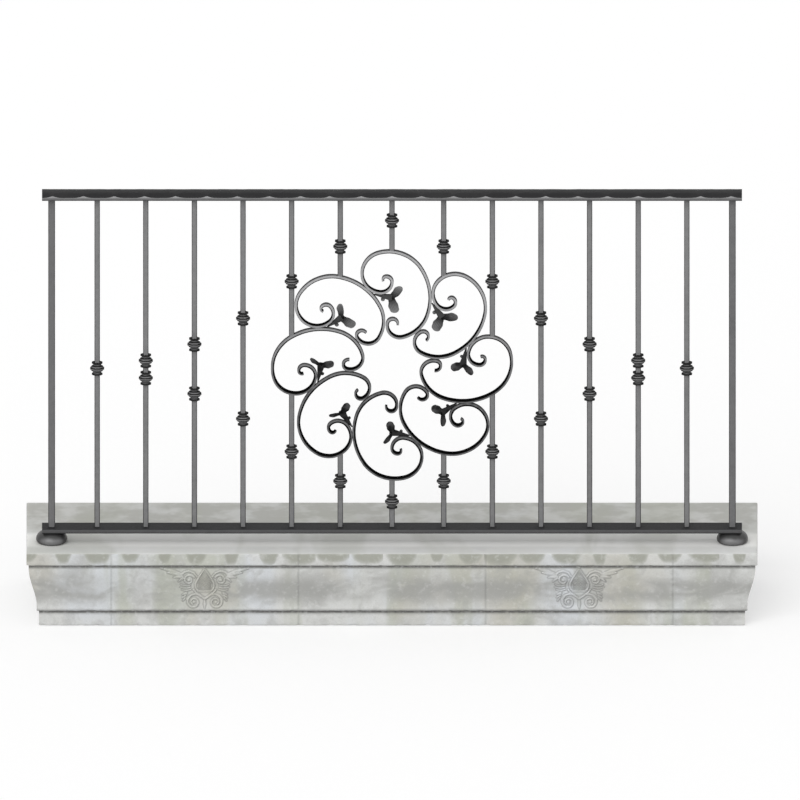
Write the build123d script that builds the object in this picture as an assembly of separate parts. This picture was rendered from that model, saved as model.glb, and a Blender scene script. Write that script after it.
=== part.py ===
"""Wrought iron railing on a stone ledge, at its real size in millimetres.

The origin is at the middle of the ledge's underside.
+X runs along the railing, the front faces -Y, and +Z is up.
"""
import math
import os

from build123d import *

# Fits
weld_gap = 0.25
slip_clearance = 0.3
mortar_joint = 0.4

# How far the flat facets of the forged curves may stray from the true curve
facet_error = 0.35

# Ledge: a coping course on a moulded course, with its back against a wall
ledge_length = 2120.0
ledge_depth = 480.0
coping_height = 37.0
block_length = 543.0
block_joint_count = 4
shoulder_height = 44.0
ovolo_height = 60.0
throat_height = 44.0
fascia_height = 46.0
shoulder_inset = 6.0
throat_inset = 29.0
fascia_inset = 36.0

# Railing as a whole, with heights above the ledge
railing_length = 2030.0
railing_setback = 110.5
handrail_underside = 1050.0

# Handrail, with hammered hollows in the top of its front edge
handrail_width = 64.0
handrail_edge = 16.0
handrail_crown = 3.0
hammer_pitch = 88.0
hammer_depth = 9.0
hammer_slope = 24.0
hammer_flat = 30.0

# Bottom rail and its feet
bottom_rail_width = 66.0
bottom_rail_thickness = 13.0
foot_diameter = 91.0
foot_height = 36.0
foot_rim = 6.0
foot_top_diameter = 30.0

# Upright bars
post_side = 20.0
post_inset = 28.0
baluster_side = 16.0
middle_pitch = 150.0
baluster_pitch = 141.0
balusters_each_side = 6

# Cast collars on each bar, with heights about the middle of the bells, from the ends inwards
collar_height = 45.0
collar_flange = 31.0
collar_flange_height = 2.5
collar_flare_height = 4.0
collar_neck = 25.6
collar_bulge = 41.0
collar_bead_height = 3.0
bell_middle = 540.0
upper_bell = [13.6, 63.4, 142.3, 254.8, 361.3, 440.5]
lower_bell = [-39.4, -87.6, -163.8, -264.1, -353.8, -416.3]
outer_collar_offset = -9.8

# Wreath: equal scrolls, each a chain of tangent arcs that turns one way
scroll_count = 8
wreath_middle = 540.0
scroll_width = 9.0
scroll_depth = 16.0
scroll_tip_width = 5.0
scroll_tip_x = -25.4
scroll_tip_height = 254.4
scroll_heading = 117.5
scroll_radii = [9.0, 16.7, 32.3, 57.2, 66.0, 109.6, 168.3, 100.3, 36.2, 15.0]
scroll_sweeps = [111.5, 97.4, 95.1, 81.5, 76.5, 71.9, 52.2, 57.0, 118.7, 175.6]

# Leaf beside each large curl: a flat calyx that carries a bud and two cupped lobes
leaf_thickness = 2.5
lobe_cup = 26.0
upper_lobe = {"length": 58.0, "width": 34.0, "neck": 20.0, "angle": 49.0, "roll": -42.0, "lift": -25.0}
lower_lobe = {"length": 49.0, "width": 39.0, "neck": 23.0, "angle": -73.0, "roll": 15.0, "lift": -15.0}
bud_lobe = {"length": 18.0, "width": 13.0, "neck": 9.0, "angle": -98.0, "roll": 0.0, "lift": -10.0}
calyx_thickness = 7.0
calyx_root = 4.0
calyx_width = 22.0
calyx_length = 49.0
calyx_overhang = 18.0
leaf_seat_share = 0.93
bud_share = 0.52

# Places that follow from the sizes above
cornice_height = shoulder_height + ovolo_height + throat_height + fascia_height
coping_top = cornice_height + coping_height
ledge_front = -ledge_depth / 2
railing_y = ledge_front + railing_setback
post_x = railing_length / 2 - post_inset
rail_underside = coping_top + foot_height
rail_top = rail_underside + bottom_rail_thickness
handrail_z = coping_top + handrail_underside
wreath_z = coping_top + wreath_middle
bell_z = coping_top + bell_middle
wreath_plane = Plane(origin=(0, railing_y, wreath_z), x_dir=(1, 0, 0), z_dir=(0, -1, 0))

os.makedirs("parts", exist_ok=True)


def write(name, shape):
    """Write one sub-part to its own file."""
    export_step(shape, f"parts/{name}.step")


# Stone ledge

def cornice_section(front, back):
    """Section of the moulded course: shoulder, ovolo, hollow throat and plain fascia."""
    top = cornice_height - mortar_joint
    ovolo_top = cornice_height - shoulder_height
    throat_top = ovolo_top - ovolo_height
    shoulder = front + shoulder_inset
    throat = front + throat_inset
    ovolo_middle = (shoulder + 0.26 * (throat - shoulder), ovolo_top - 0.52 * ovolo_height)
    throat_middle = (throat + 0.12 * throat_inset, throat_top - 0.55 * throat_height)
    front_edge = Polyline((shoulder, top), (shoulder, ovolo_top))
    ovolo = ThreePointArc((shoulder, ovolo_top), ovolo_middle, (throat, throat_top))
    hollow = ThreePointArc((throat, throat_top), throat_middle, (throat, fascia_height))
    rest = Polyline(
        (throat, fascia_height),
        (front + fascia_inset, fascia_height),
        (front + fascia_inset, 0),
        (back, 0),
        (back, top),
        (shoulder, top),
    )
    return make_face(front_edge + ovolo + hollow + rest)


def cornice_run():
    """The moulded course in one length, with its moulding mitred round both ends."""
    front = Plane.YZ * cornice_section(ledge_front, ledge_depth / 2)
    front_run = extrude(front, ledge_length / 2, both=True)
    end = Plane.XZ * cornice_section(-ledge_length / 2, ledge_length)
    end_run = extrude(end, ledge_depth, both=True)
    return front_run & end_run & mirror(end_run, Plane.YZ)


def block_spans():
    """The stretch along the ledge that each block covers, from joint to joint."""
    first_joint = -block_length * (block_joint_count - 1) / 2
    joints = [first_joint + i * block_length for i in range(block_joint_count)]
    half_joint = mortar_joint / 2
    starts = [-ledge_length / 2] + [x + half_joint for x in joints]
    ends = [x - half_joint for x in joints] + [ledge_length / 2]
    return list(zip(starts, ends))


def make_ledge():
    cornice = cornice_run()
    for number, (left, right) in enumerate(block_spans(), start=1):
        width = right - left
        middle = (left + right) / 2
        slab = Box(width, ledge_depth, coping_height)
        write(f"coping_slab_{number}", Pos(middle, 0, coping_top - coping_height / 2) * slab)
        stretch = Box(width, 2 * ledge_depth, 3 * cornice_height)
        write(f"cornice_block_{number}", cornice & Pos(middle, 0, 0) * stretch)


# Rails, posts and feet

def hammer_hollow(x):
    """A hammered hollow that starts on the handrail's front edge and runs out towards its middle."""
    flat = hammer_flat / 2
    edge = hammer_pitch / 2
    hollow = make_face(Polyline(
        (-flat, 0), (flat, 0), (edge, hammer_depth), (edge, handrail_width),
        (-edge, handrail_width), (-edge, hammer_depth),
        close=True,
    ))
    cutter = extrude(Plane.XZ * hollow, handrail_width, both=True)
    foot_z = handrail_z + handrail_edge - hammer_depth
    return Pos(x, railing_y - handrail_width / 2, foot_z) * Rot(hammer_slope, 0, 0) * cutter


def make_handrail():
    """A flat bar with a crowned top and a row of hammered hollows along its front edge."""
    half = handrail_width / 2
    top = handrail_edge + handrail_crown
    outline = Polyline(
        (-half, 0), (half, 0), (half, handrail_edge), (half / 3, top), (-half / 3, top),
        (-half, handrail_edge),
        close=True,
    )
    section = Pos(railing_y, handrail_z) * make_face(outline)
    rail = extrude(Plane.YZ * section, railing_length / 2, both=True)
    count = int(railing_length / hammer_pitch)
    first = -hammer_pitch * (count - 1) / 2
    return rail - [hammer_hollow(first + i * hammer_pitch) for i in range(count)]


def make_bottom_rail():
    """A flat bar that the uprights stand on."""
    rail = Box(
        railing_length, bottom_rail_width, bottom_rail_thickness,
        align=(Align.CENTER, Align.CENTER, Align.MIN),
    )
    return Pos(0, railing_y, rail_underside) * rail


def make_foot(x):
    """A domed disc between the ledge and the bottom rail."""
    rim = foot_diameter / 2
    top = foot_top_diameter / 2
    shoulder = (0.72 * rim, foot_rim + 0.62 * (foot_height - foot_rim))
    profile = Plane.XZ * make_face(Polyline(
        (0, 0), (rim, 0), (rim, foot_rim), shoulder, (top, foot_height), (0, foot_height),
        close=True,
    ))
    return Pos(x, railing_y, coping_top) * revolve(profile, Axis.Z)


def upright_bar(side, x):
    """A square bar from the bottom rail up to the handrail."""
    length = handrail_z - rail_top
    bar = Box(side, side, length, align=(Align.CENTER, Align.CENTER, Align.MIN))
    return Pos(x, railing_y, rail_top) * bar


# Wreath

def scroll_centreline(reach):
    """Each arc of a scroll as its start point, middle, end and centre, tip of the large curl first."""
    x = scroll_tip_x
    z = scroll_tip_height + reach
    heading = math.radians(scroll_heading)
    arcs = []
    for radius, sweep in zip(scroll_radii, scroll_sweeps):
        turn = math.radians(sweep)
        centre = (x + radius * math.sin(heading), z - radius * math.cos(heading))
        arcs.append((centre, radius, heading + math.pi / 2, turn))
        heading -= turn
        x = centre[0] - radius * math.sin(heading)
        z = centre[1] + radius * math.cos(heading)
    return arcs


def arc_point(arc, offset, share):
    """A point beside an arc, a share of the way along it, offset away from its centre."""
    (cx, cz), radius, start, turn = arc
    angle = start - share * turn
    return (cx + (radius + offset) * math.cos(angle), cz + (radius + offset) * math.sin(angle))


def facet_count(radius, turn):
    """Number of flat facets that follow an arc closely enough."""
    return math.ceil(turn / math.acos(1 - facet_error / radius) / 2)


def scroll_face(reach, spare=0.0):
    """Outline of a scroll in the wreath's plane, drawn down to a narrow tip at both ends."""
    arcs = scroll_centreline(reach)
    tip = scroll_tip_width / 2 + spare
    full = scroll_width / 2 + spare
    widths = [(tip, full)] + [(full, full)] * (len(arcs) - 2) + [(full, tip)]
    outer = []
    inner = []
    for arc, (first, last) in zip(arcs, widths):
        count = facet_count(arc[1] + full, arc[3])
        for i in range(count):
            offset = first + (last - first) * i / count
            outer.append(arc_point(arc, offset, i / count))
            inner.append(arc_point(arc, -offset, i / count))
    outer.append(arc_point(arcs[-1], tip, 1))
    inner.append(arc_point(arcs[-1], -tip, 1))
    return make_face(Polyline(*outer, *reversed(inner), close=True))


def turned(shape, step):
    """A shape of the wreath turned on to a scroll's place, counted anticlockwise from the top."""
    return Rot(0, 0, 360 / scroll_count * step) * shape


def solve_reach():
    """How far the scrolls stand out so that neighbours come within a weld of each other."""
    low, high = -0.5 * scroll_radii[0], scroll_tip_height / 2
    for _ in range(24):
        reach = (low + high) / 2
        face = scroll_face(reach)
        if face.distance_to(turned(face, 1)) < weld_gap:
            low = reach
        else:
            high = reach
    return high


def flat_solid(face, depth):
    """A scroll's outline given its depth, on the railing's line."""
    return extrude(wreath_plane * face, depth / 2, both=True)


def facet_arc(centre, radius, start, turn):
    """Points of the facets that follow an arc clockwise from a starting angle."""
    count = facet_count(radius, turn)
    angles = [start - turn * i / count for i in range(count + 1)]
    return [(centre[0] + radius * math.cos(a), centre[1] + radius * math.sin(a)) for a in angles]


def lobe_outline(length, width, neck):
    """A rounded lobe: a wide circle and a narrow one joined by their common tangents."""
    head = width / 2
    root = neck / 2
    reach = length - head
    lean = math.asin((head - root) / reach)
    square = math.pi / 2
    wide = facet_arc((reach, 0), head, square + lean, 2 * (square + lean))
    narrow = facet_arc((0, 0), root, -square - lean, 2 * (square - lean))
    return make_face(Polyline(*wide, *narrow, close=True))


def cupped_lobe(length, width, neck, angle, roll, lift):
    """A thin lobe, hollowed along its length, that leaves the origin at an angle in the wreath's plane.

    Roll turns it about its own length and lift brings its tip forward.
    """
    blank = extrude(lobe_outline(length, width, neck), lobe_cup, both=True)
    quarter = math.pi / 2
    middle = (0, lobe_cup)
    below = facet_arc(middle, lobe_cup + leaf_thickness / 2, 0, 2 * quarter)
    above = facet_arc(middle, lobe_cup - leaf_thickness / 2, 0, 2 * quarter)
    band = make_face(Polyline(*below, *reversed(above), close=True))
    lobe = blank & extrude(Plane.YZ * band, 2 * length, both=True)
    return Rot(0, 0, angle) * Rot(0, lift, 0) * Rot(roll, 0, 0) * lobe


def leaf_solid(reach):
    """One leaf in the wreath's plane, its calyx lying along the outside of the large curl."""
    curl = scroll_centreline(reach)[2]
    seat = arc_point(curl, scroll_width / 2 + weld_gap, leaf_seat_share)
    root = calyx_root / 2
    body = calyx_width / 2
    slope = math.degrees(math.asin((body - root) / calyx_length))
    blank = lobe_outline(calyx_length + body, calyx_width, calyx_root)
    calyx = extrude(blank, calyx_thickness / 2, both=True)
    place = Pos(seat[0] - calyx_overhang, seat[1] - root, 0) * Rot(0, 0, -slope)
    body_place = place * Pos(calyx_length, 0, 0)
    bud_place = place * Pos(bud_share * calyx_length, 0, 0)
    upper = Pos(body_place.position) * cupped_lobe(**upper_lobe)
    lower = Pos(body_place.position) * cupped_lobe(**lower_lobe)
    bud = Pos(bud_place.position) * cupped_lobe(**bud_lobe)
    return place * calyx + upper + lower + bud


def make_wreath():
    """Write the scrolls and leaves, and return what the balusters have to clear."""
    reach = solve_reach()
    scroll = scroll_face(reach)
    clearance = scroll_face(reach, weld_gap)
    leaf = leaf_solid(reach)
    for step in range(scroll_count):
        write(f"scroll_{step + 1}", flat_solid(turned(scroll, step), scroll_depth))
        write(f"leaf_{step + 1}", wreath_plane * turned(leaf, step))
    return [flat_solid(turned(clearance, step), 2 * baluster_side) for step in range(scroll_count)]


# Balusters and collars

def baluster_places():
    """Middle of each baluster along the railing, from left to right."""
    outer = [middle_pitch + i * baluster_pitch for i in range(balusters_each_side)]
    return [-x for x in reversed(outer)] + [0.0] + outer


def make_baluster(x, scrolls):
    """A square bar, cut away where the wreath takes its place."""
    bar = upright_bar(baluster_side, x)
    wreath_half = max(s.bounding_box().max.X for s in scrolls)
    if abs(x) - baluster_side / 2 > wreath_half:
        return bar
    pieces = (bar - scrolls).solids().sort_by(Axis.Z)
    if len(pieces) == 1:
        return pieces[0]
    return Compound([pieces[0], pieces[-1]])


def collar_silhouette():
    """A collar's outline from the front: flange, flare, neck and swelling with a middle bead."""
    flange_z = collar_height / 2
    flare_z = flange_z - collar_flange_height
    neck_z = flare_z - collar_flare_height
    right = [
        (collar_flange / 2, flange_z),
        (collar_flange / 2, flare_z),
        (collar_neck / 2, neck_z),
        (collar_neck / 2, 0.8 * neck_z),
        (collar_bulge / 2, collar_bead_height / 2),
    ]
    right += [(x, -z) for x, z in reversed(right)]
    left = [(-x, z) for x, z in reversed(right)]
    return make_face(Polyline(*right, *left, close=True))


def make_collar():
    """A square cast knuckle, bored to slip over a baluster, its swelling cut off at the corners."""
    silhouette = collar_silhouette()
    front = extrude(Plane.XZ * silhouette, collar_bulge, both=True)
    side = extrude(Plane.YZ * silhouette, collar_bulge, both=True)
    across_corners = collar_flange * math.sqrt(2)
    corners = Rot(0, 0, 45) * Box(across_corners, across_corners, 2 * collar_height)
    bore_side = baluster_side + 2 * slip_clearance
    return (front & side & corners) - Box(bore_side, bore_side, 2 * collar_height)


def collar_heights(index):
    """Heights of a baluster's collars, by its place from the nearer end."""
    if index == 0:
        return [bell_z + outer_collar_offset]
    return [bell_z + upper_bell[index - 1], bell_z + lower_bell[index - 1]]


def make_collars(places):
    """Write the collars of the upper and of the lower bell."""
    collar = make_collar()
    upper = []
    lower = []
    last = len(places) - 1
    for number, x in enumerate(places):
        heights = collar_heights(min(number, last - number))
        upper.append(Pos(x, railing_y, heights[0]) * collar)
        if len(heights) > 1:
            lower.append(Pos(x, railing_y, heights[1]) * collar)
    write("upper_collars", Compound(upper))
    write("lower_collars", Compound(lower))


make_ledge()
write("handrail", make_handrail())
write("bottom_rail", make_bottom_rail())
write("foot_left", make_foot(-post_x))
write("foot_right", make_foot(post_x))
write("end_post_left", upright_bar(post_side, -post_x))
write("end_post_right", upright_bar(post_side, post_x))
wreath_clearance = make_wreath()
bar_places = baluster_places()
for number, place in enumerate(bar_places, start=1):
    write(f"baluster_{number:02d}", make_baluster(place, wreath_clearance))
make_collars(bar_places)
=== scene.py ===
"""Looks of a wrought iron railing that stands on a weathered stone ledge.

Everything is in metres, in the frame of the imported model: +X runs along the railing,
the front faces -Y and +Z is up. Each sub-assembly is a class that makes its own pieces
and dresses them; the finishes are small classes that build their own materials.
"""
from __future__ import annotations

import logging
import math
from dataclasses import dataclass, field, replace
from enum import Enum
from typing import Any, Callable, Iterable, Mapping, Sequence, Union

import bmesh
import bpy
import numpy
from mathutils import Matrix, Vector, noise

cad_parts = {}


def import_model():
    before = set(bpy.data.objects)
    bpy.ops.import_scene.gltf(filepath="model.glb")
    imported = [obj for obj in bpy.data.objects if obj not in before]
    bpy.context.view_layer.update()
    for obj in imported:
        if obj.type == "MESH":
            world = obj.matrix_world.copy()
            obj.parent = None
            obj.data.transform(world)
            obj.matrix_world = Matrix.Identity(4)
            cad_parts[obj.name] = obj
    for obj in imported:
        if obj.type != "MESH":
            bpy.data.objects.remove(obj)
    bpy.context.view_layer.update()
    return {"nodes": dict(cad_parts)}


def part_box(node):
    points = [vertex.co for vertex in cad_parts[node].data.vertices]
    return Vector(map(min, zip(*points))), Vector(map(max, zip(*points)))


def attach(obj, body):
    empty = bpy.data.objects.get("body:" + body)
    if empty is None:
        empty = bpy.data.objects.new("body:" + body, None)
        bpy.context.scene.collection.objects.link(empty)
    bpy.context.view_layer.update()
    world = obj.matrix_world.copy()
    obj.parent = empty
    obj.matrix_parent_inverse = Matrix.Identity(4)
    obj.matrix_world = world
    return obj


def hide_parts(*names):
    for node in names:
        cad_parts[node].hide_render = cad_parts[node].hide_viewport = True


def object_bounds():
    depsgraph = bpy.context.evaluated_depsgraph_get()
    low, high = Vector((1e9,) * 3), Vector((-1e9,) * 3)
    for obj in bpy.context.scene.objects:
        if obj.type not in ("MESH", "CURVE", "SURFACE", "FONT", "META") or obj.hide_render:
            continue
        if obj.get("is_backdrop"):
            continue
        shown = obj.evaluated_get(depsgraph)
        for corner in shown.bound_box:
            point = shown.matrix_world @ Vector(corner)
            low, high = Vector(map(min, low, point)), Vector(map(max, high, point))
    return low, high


MM = 0.001
BODY = "root"
IRON_SLOT = "iron"
STONE_SLOT = "stone"
LOG = logging.getLogger("railing")

Colour = tuple[float, float, float]
Point = tuple[float, float, float]
Scalar = Union["Channel", float]


def rgba(colour: Colour) -> tuple[float, float, float, float]:
    """Give an opaque colour its fourth value."""
    return (*colour, 1.0)


def blend(low: float, high: float, share: float) -> float:
    """Value that lies a share of the way from low to high."""
    return low + (high - low) * share


# Node trees

class Channel:
    """A number that varies over a surface, as the output socket of a node."""

    def __init__(self, board: "NodeBoard", socket: bpy.types.NodeSocket) -> None:
        self.board = board
        self.socket = socket

    def _math(self, operation: str, left: Scalar, right: Scalar) -> "Channel":
        """Add a Math node.

        Args:
            operation: Name of the node's operation.
            left: First operand.
            right: Second operand.

        Returns:
            The node's result.
        """
        made = self.board.node("ShaderNodeMath", {"operation": operation}, {0: left, 1: right})
        return Channel(self.board, made.outputs[0])

    def __add__(self, other: Scalar) -> "Channel":
        return self._math("ADD", self, other)

    def __radd__(self, other: Scalar) -> "Channel":
        return self._math("ADD", other, self)

    def __sub__(self, other: Scalar) -> "Channel":
        return self._math("SUBTRACT", self, other)

    def __rsub__(self, other: Scalar) -> "Channel":
        return self._math("SUBTRACT", other, self)

    def __mul__(self, other: Scalar) -> "Channel":
        return self._math("MULTIPLY", self, other)

    def __rmul__(self, other: Scalar) -> "Channel":
        return self._math("MULTIPLY", other, self)

    def __truediv__(self, other: Scalar) -> "Channel":
        return self._math("DIVIDE", self, other)

    def __pow__(self, other: Scalar) -> "Channel":
        return self._math("POWER", self, other)

    def __neg__(self) -> "Channel":
        return self._math("MULTIPLY", self, -1.0)

    def __rtruediv__(self, other: Scalar) -> "Channel":
        return self._math("DIVIDE", other, self)

    def apply(self, operation: str) -> "Channel":
        """The result of an operation that needs no second value, such as FLOOR or ABSOLUTE."""
        return self._math(operation, self, 0.0)

    def greater(self, other: Scalar) -> "Channel":
        """The greater of two values."""
        return self._math("MAXIMUM", self, other)

    def smooth_minimum(self, other: Scalar, width: float) -> "Channel":
        """The lesser of two values, rounded off where they meet.

        Args:
            other: Second value.
            width: Width of the rounding.

        Returns:
            The rounded minimum.
        """
        made = self.board.node(
            "ShaderNodeMath", {"operation": "SMOOTH_MIN"}, {0: self, 1: other, 2: width}
        )
        return Channel(self.board, made.outputs[0])

    def ramp(self, low: float, high: float, start: float = 0.0, end: float = 1.0) -> "Channel":
        """Map the stretch from low to high smoothly on to start to end, and hold it beyond.

        Args:
            low: Value that maps to start.
            high: Value that maps to end.
            start: Result at low.
            end: Result at high.

        Returns:
            The mapped channel.
        """
        made = self.board.node(
            "ShaderNodeMapRange",
            {"interpolation_type": "SMOOTHSTEP"},
            {"Value": self, "From Min": low, "From Max": high, "To Min": start, "To Max": end},
        )
        return Channel(self.board, made.outputs["Result"])


class NodeBoard:
    """A node tree with one way to add a node."""

    def __init__(self, tree: bpy.types.NodeTree) -> None:
        self.tree = tree

    def node(
        self,
        kind: str,
        settings: Mapping[str, Any] | None = None,
        inputs: Mapping[str | int, Any] | None = None,
    ) -> bpy.types.Node:
        """Add a node.

        Args:
            kind: Type of the node.
            settings: Properties that are set first; "stops" fills a colour ramp.
            inputs: Values, channels or output sockets, by the input's name or place.

        Returns:
            The new node.
        """
        made = self.tree.nodes.new(kind)
        for name, value in (settings or {}).items():
            if name == "stops":
                self._set_stops(made, value)
            else:
                setattr(made, name, value)
        for key, value in (inputs or {}).items():
            source = value.socket if isinstance(value, Channel) else value
            if isinstance(source, bpy.types.NodeSocket):
                self.tree.links.new(source, made.inputs[key])
            else:
                made.inputs[key].default_value = source
        return made

    @staticmethod
    def _set_stops(ramp_node: bpy.types.Node, stops: Sequence[tuple[float, Colour]]) -> None:
        """Fill a colour ramp with its stops, in order."""
        elements = ramp_node.color_ramp.elements
        while len(elements) < len(stops):
            elements.new(1.0)
        for element, (place, colour) in zip(elements, stops):
            element.position = place
            element.color = rgba(colour)


class Shader(NodeBoard):
    """A material's node tree with the patterns that the finishes are made of."""

    def __init__(self, name: str) -> None:
        self.material = bpy.data.materials.new(name)
        self.material.use_nodes = True
        super().__init__(self.material.node_tree)
        self.tree.nodes.clear()
        self.coordinates = self.node("ShaderNodeTexCoord").outputs["Object"]
        self.facing = self.node("ShaderNodeTexCoord").outputs["Normal"]

    def stretched(self, scale: Point) -> bpy.types.NodeSocket:
        """Object coordinates, scaled by different amounts along each axis."""
        made = self.node("ShaderNodeMapping", None, {"Vector": self.coordinates, "Scale": scale})
        return made.outputs["Vector"]

    def axis(self, vector: bpy.types.NodeSocket, name: str) -> Channel:
        """One component of a vector."""
        return Channel(self, self.node("ShaderNodeSeparateXYZ", None, {0: vector}).outputs[name])

    def layer(self, name: str) -> Channel:
        """Values that a piece carries on its points under a name; 0 where it carries none."""
        made = self.node("ShaderNodeAttribute", {"attribute_name": name})
        return Channel(self, made.outputs["Fac"])

    def clouds(
        self,
        scale: float,
        detail: float = 4.0,
        roughness: float = 0.55,
        distortion: float = 0.0,
        vector: bpy.types.NodeSocket | None = None,
    ) -> Channel:
        """A soft noise pattern.

        Args:
            scale: Patches to a metre.
            detail: Number of finer layers.
            roughness: Strength of the finer layers.
            distortion: How far the pattern is swirled.
            vector: Coordinates to use in place of the object's.

        Returns:
            The noise, from about 0 to 1.
        """
        made = self.node(
            "ShaderNodeTexNoise",
            None,
            {
                "Vector": vector or self.coordinates,
                "Scale": scale,
                "Detail": detail,
                "Roughness": roughness,
                "Distortion": distortion,
            },
        )
        return Channel(self, made.outputs["Fac"])

    def cells(self, scale: float, smoothness: float = 0.6) -> Channel:
        """Distance to the middle of the nearest cell, for hammer marks and pits."""
        made = self.node(
            "ShaderNodeTexVoronoi",
            {"feature": "SMOOTH_F1"},
            {"Vector": self.coordinates, "Scale": scale, "Smoothness": smoothness},
        )
        return Channel(self, made.outputs["Distance"])

    def mix(
        self,
        share: Scalar,
        first: Colour | bpy.types.NodeSocket,
        second: Colour | bpy.types.NodeSocket,
        mode: str = "MIX",
    ) -> bpy.types.NodeSocket:
        """Mix two colours.

        Args:
            share: How much of the second colour shows.
            first: Colour at a share of 0.
            second: Colour at a share of 1.
            mode: Blending mode.

        Returns:
            The mixed colour.
        """
        colours = [rgba(c) if isinstance(c, tuple) else c for c in (first, second)]
        made = self.node(
            "ShaderNodeMix",
            {"data_type": "RGBA", "blend_type": mode},
            {0: share, 6: colours[0], 7: colours[1]},
        )
        return made.outputs[2]

    def bump(
        self, height: Channel, distance: float, below: bpy.types.NodeSocket | None = None
    ) -> bpy.types.NodeSocket:
        """A bumped normal.

        Args:
            height: Height of the surface, from 0 to 1.
            distance: Real height that 1 stands for, in metres.
            below: Normal of a coarser bump that this one lies on.

        Returns:
            The normal.
        """
        inputs = {"Strength": 1.0, "Distance": distance, "Height": height}
        if below is not None:
            inputs["Normal"] = below
        return self.node("ShaderNodeBump", None, inputs).outputs["Normal"]

    def surface(self, inputs: Mapping[str, Any]) -> bpy.types.Material:
        """Finish the material with one Principled shader.

        Args:
            inputs: Values and links of the shader's sockets.

        Returns:
            The material.
        """
        shader = self.node("ShaderNodeBsdfPrincipled", None, inputs)
        self.node("ShaderNodeOutputMaterial", None, {"Surface": shader.outputs["BSDF"]})
        return self.material


# Finishes

@dataclass(frozen=True)
class ForgedIron:
    """Graphite-grey forged iron, its hammer marks rubbed paler on its broad faces; painted light and
    shade keep its broad faces paler, its sides darker and its up-facing faces nearly black.
    """

    name: str
    front: Colour = (0.23, 0.23, 0.232)
    # Painted shade: the front's colour at the bottom.
    painted_shade_low_front: Colour | None = None
    # Painted shade on the sides.
    painted_shade_flank: Colour = (0.06, 0.06, 0.061)
    # Painted shade on faces that face up.
    upward: Colour = (0.024, 0.024, 0.025)
    # Painted shade in grooves and hollows and on the scrolls' inner side.
    groove: Colour = (0.012, 0.012, 0.012)
    # Heights over which the painted shade at the bottom gives way to the front colour.
    painted_shade_heights: tuple[float, float] = (0.5, 1.1)
    turned: tuple[float, float] = (0.78, 0.99)
    lying: tuple[float, float] = (0.25, 0.7)
    # How much the painted shade on the scrolls' inner side widens low in the wreath.
    painted_low_inner_shade: float = 0.0
    # Heights and colour of a painted highlight on the front.
    painted_highlight_heights: tuple[float, float] | None = None
    painted_highlight: Colour = (0.34, 0.34, 0.345)
    roughness: float = 0.6
    metallic: float = 0.04
    specular: float = 0.07
    hammer_scale: float = 62.0
    hammer_depth: float = 0.3 * MM
    grain_depth: float = 0.1 * MM
    worn: float = 0.12

    def material(self) -> bpy.types.Material:
        """Build the material."""
        shader = Shader(self.name)
        height = shader.axis(shader.coordinates, "Z")
        front: Colour | bpy.types.NodeSocket = self.front
        # Painted shade: the front darkens towards the bottom.
        if self.painted_shade_low_front is not None:
            front = shader.mix(height.ramp(*self.painted_shade_heights), self.painted_shade_low_front, self.front)
        # Painted highlight: the front lightens between two heights.
        if self.painted_highlight_heights is not None:
            front = shader.mix(height.ramp(*self.painted_highlight_heights), front, self.painted_highlight)
        # Painted light and shade: faces towards the front or back keep the front colour, sides turn
        # darker and up-facing faces nearly black.
        broad = shader.axis(shader.facing, "Y").apply("ABSOLUTE").ramp(*self.turned)
        upward = shader.axis(shader.facing, "Z").ramp(*self.lying)
        patches = shader.clouds(9.0, 3.0)
        grain = shader.clouds(420.0, 3.0, 0.6)
        hammer = shader.cells(self.hammer_scale)
        sides = shader.mix(broad, self.painted_shade_flank, front)
        base = shader.mix(upward, sides, self.upward)
        dull = tuple(0.4 * value for value in self.front)
        patched = shader.mix(patches.ramp(0.45, 0.75, 0.0, 0.22), base, dull)
        pale = tuple(min(1.0, 1.5 * value) for value in self.front)
        rubbed = shader.mix(hammer.ramp(0.25, 0.6, 0.0, self.worn) * broad, patched, pale)
        grained = shader.mix(grain.ramp(0.45, 0.65, 0.0, 0.16), rubbed, dull)
        # Painted shade on the scrolls' inner side, wider low in the wreath, and on pieces that carry
        # groove values.
        lower = height.ramp(*self.painted_shade_heights, self.painted_low_inner_shade, 0.0)
        inner = (shader.layer("inside") + lower).ramp(0.62, 0.84)
        colour = shader.mix(shader.layer("groove").greater(inner), grained, self.groove)
        dents = shader.bump(hammer, self.hammer_depth)
        normal = shader.bump(grain, self.grain_depth, dents)
        rough = grain.ramp(0.3, 0.7, self.roughness - 0.08, self.roughness + 0.12)
        return shader.surface({
            "Base Color": colour,
            "Roughness": rough,
            "Metallic": self.metallic,
            "Specular IOR Level": self.specular,
            "Normal": normal,
        })


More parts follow.
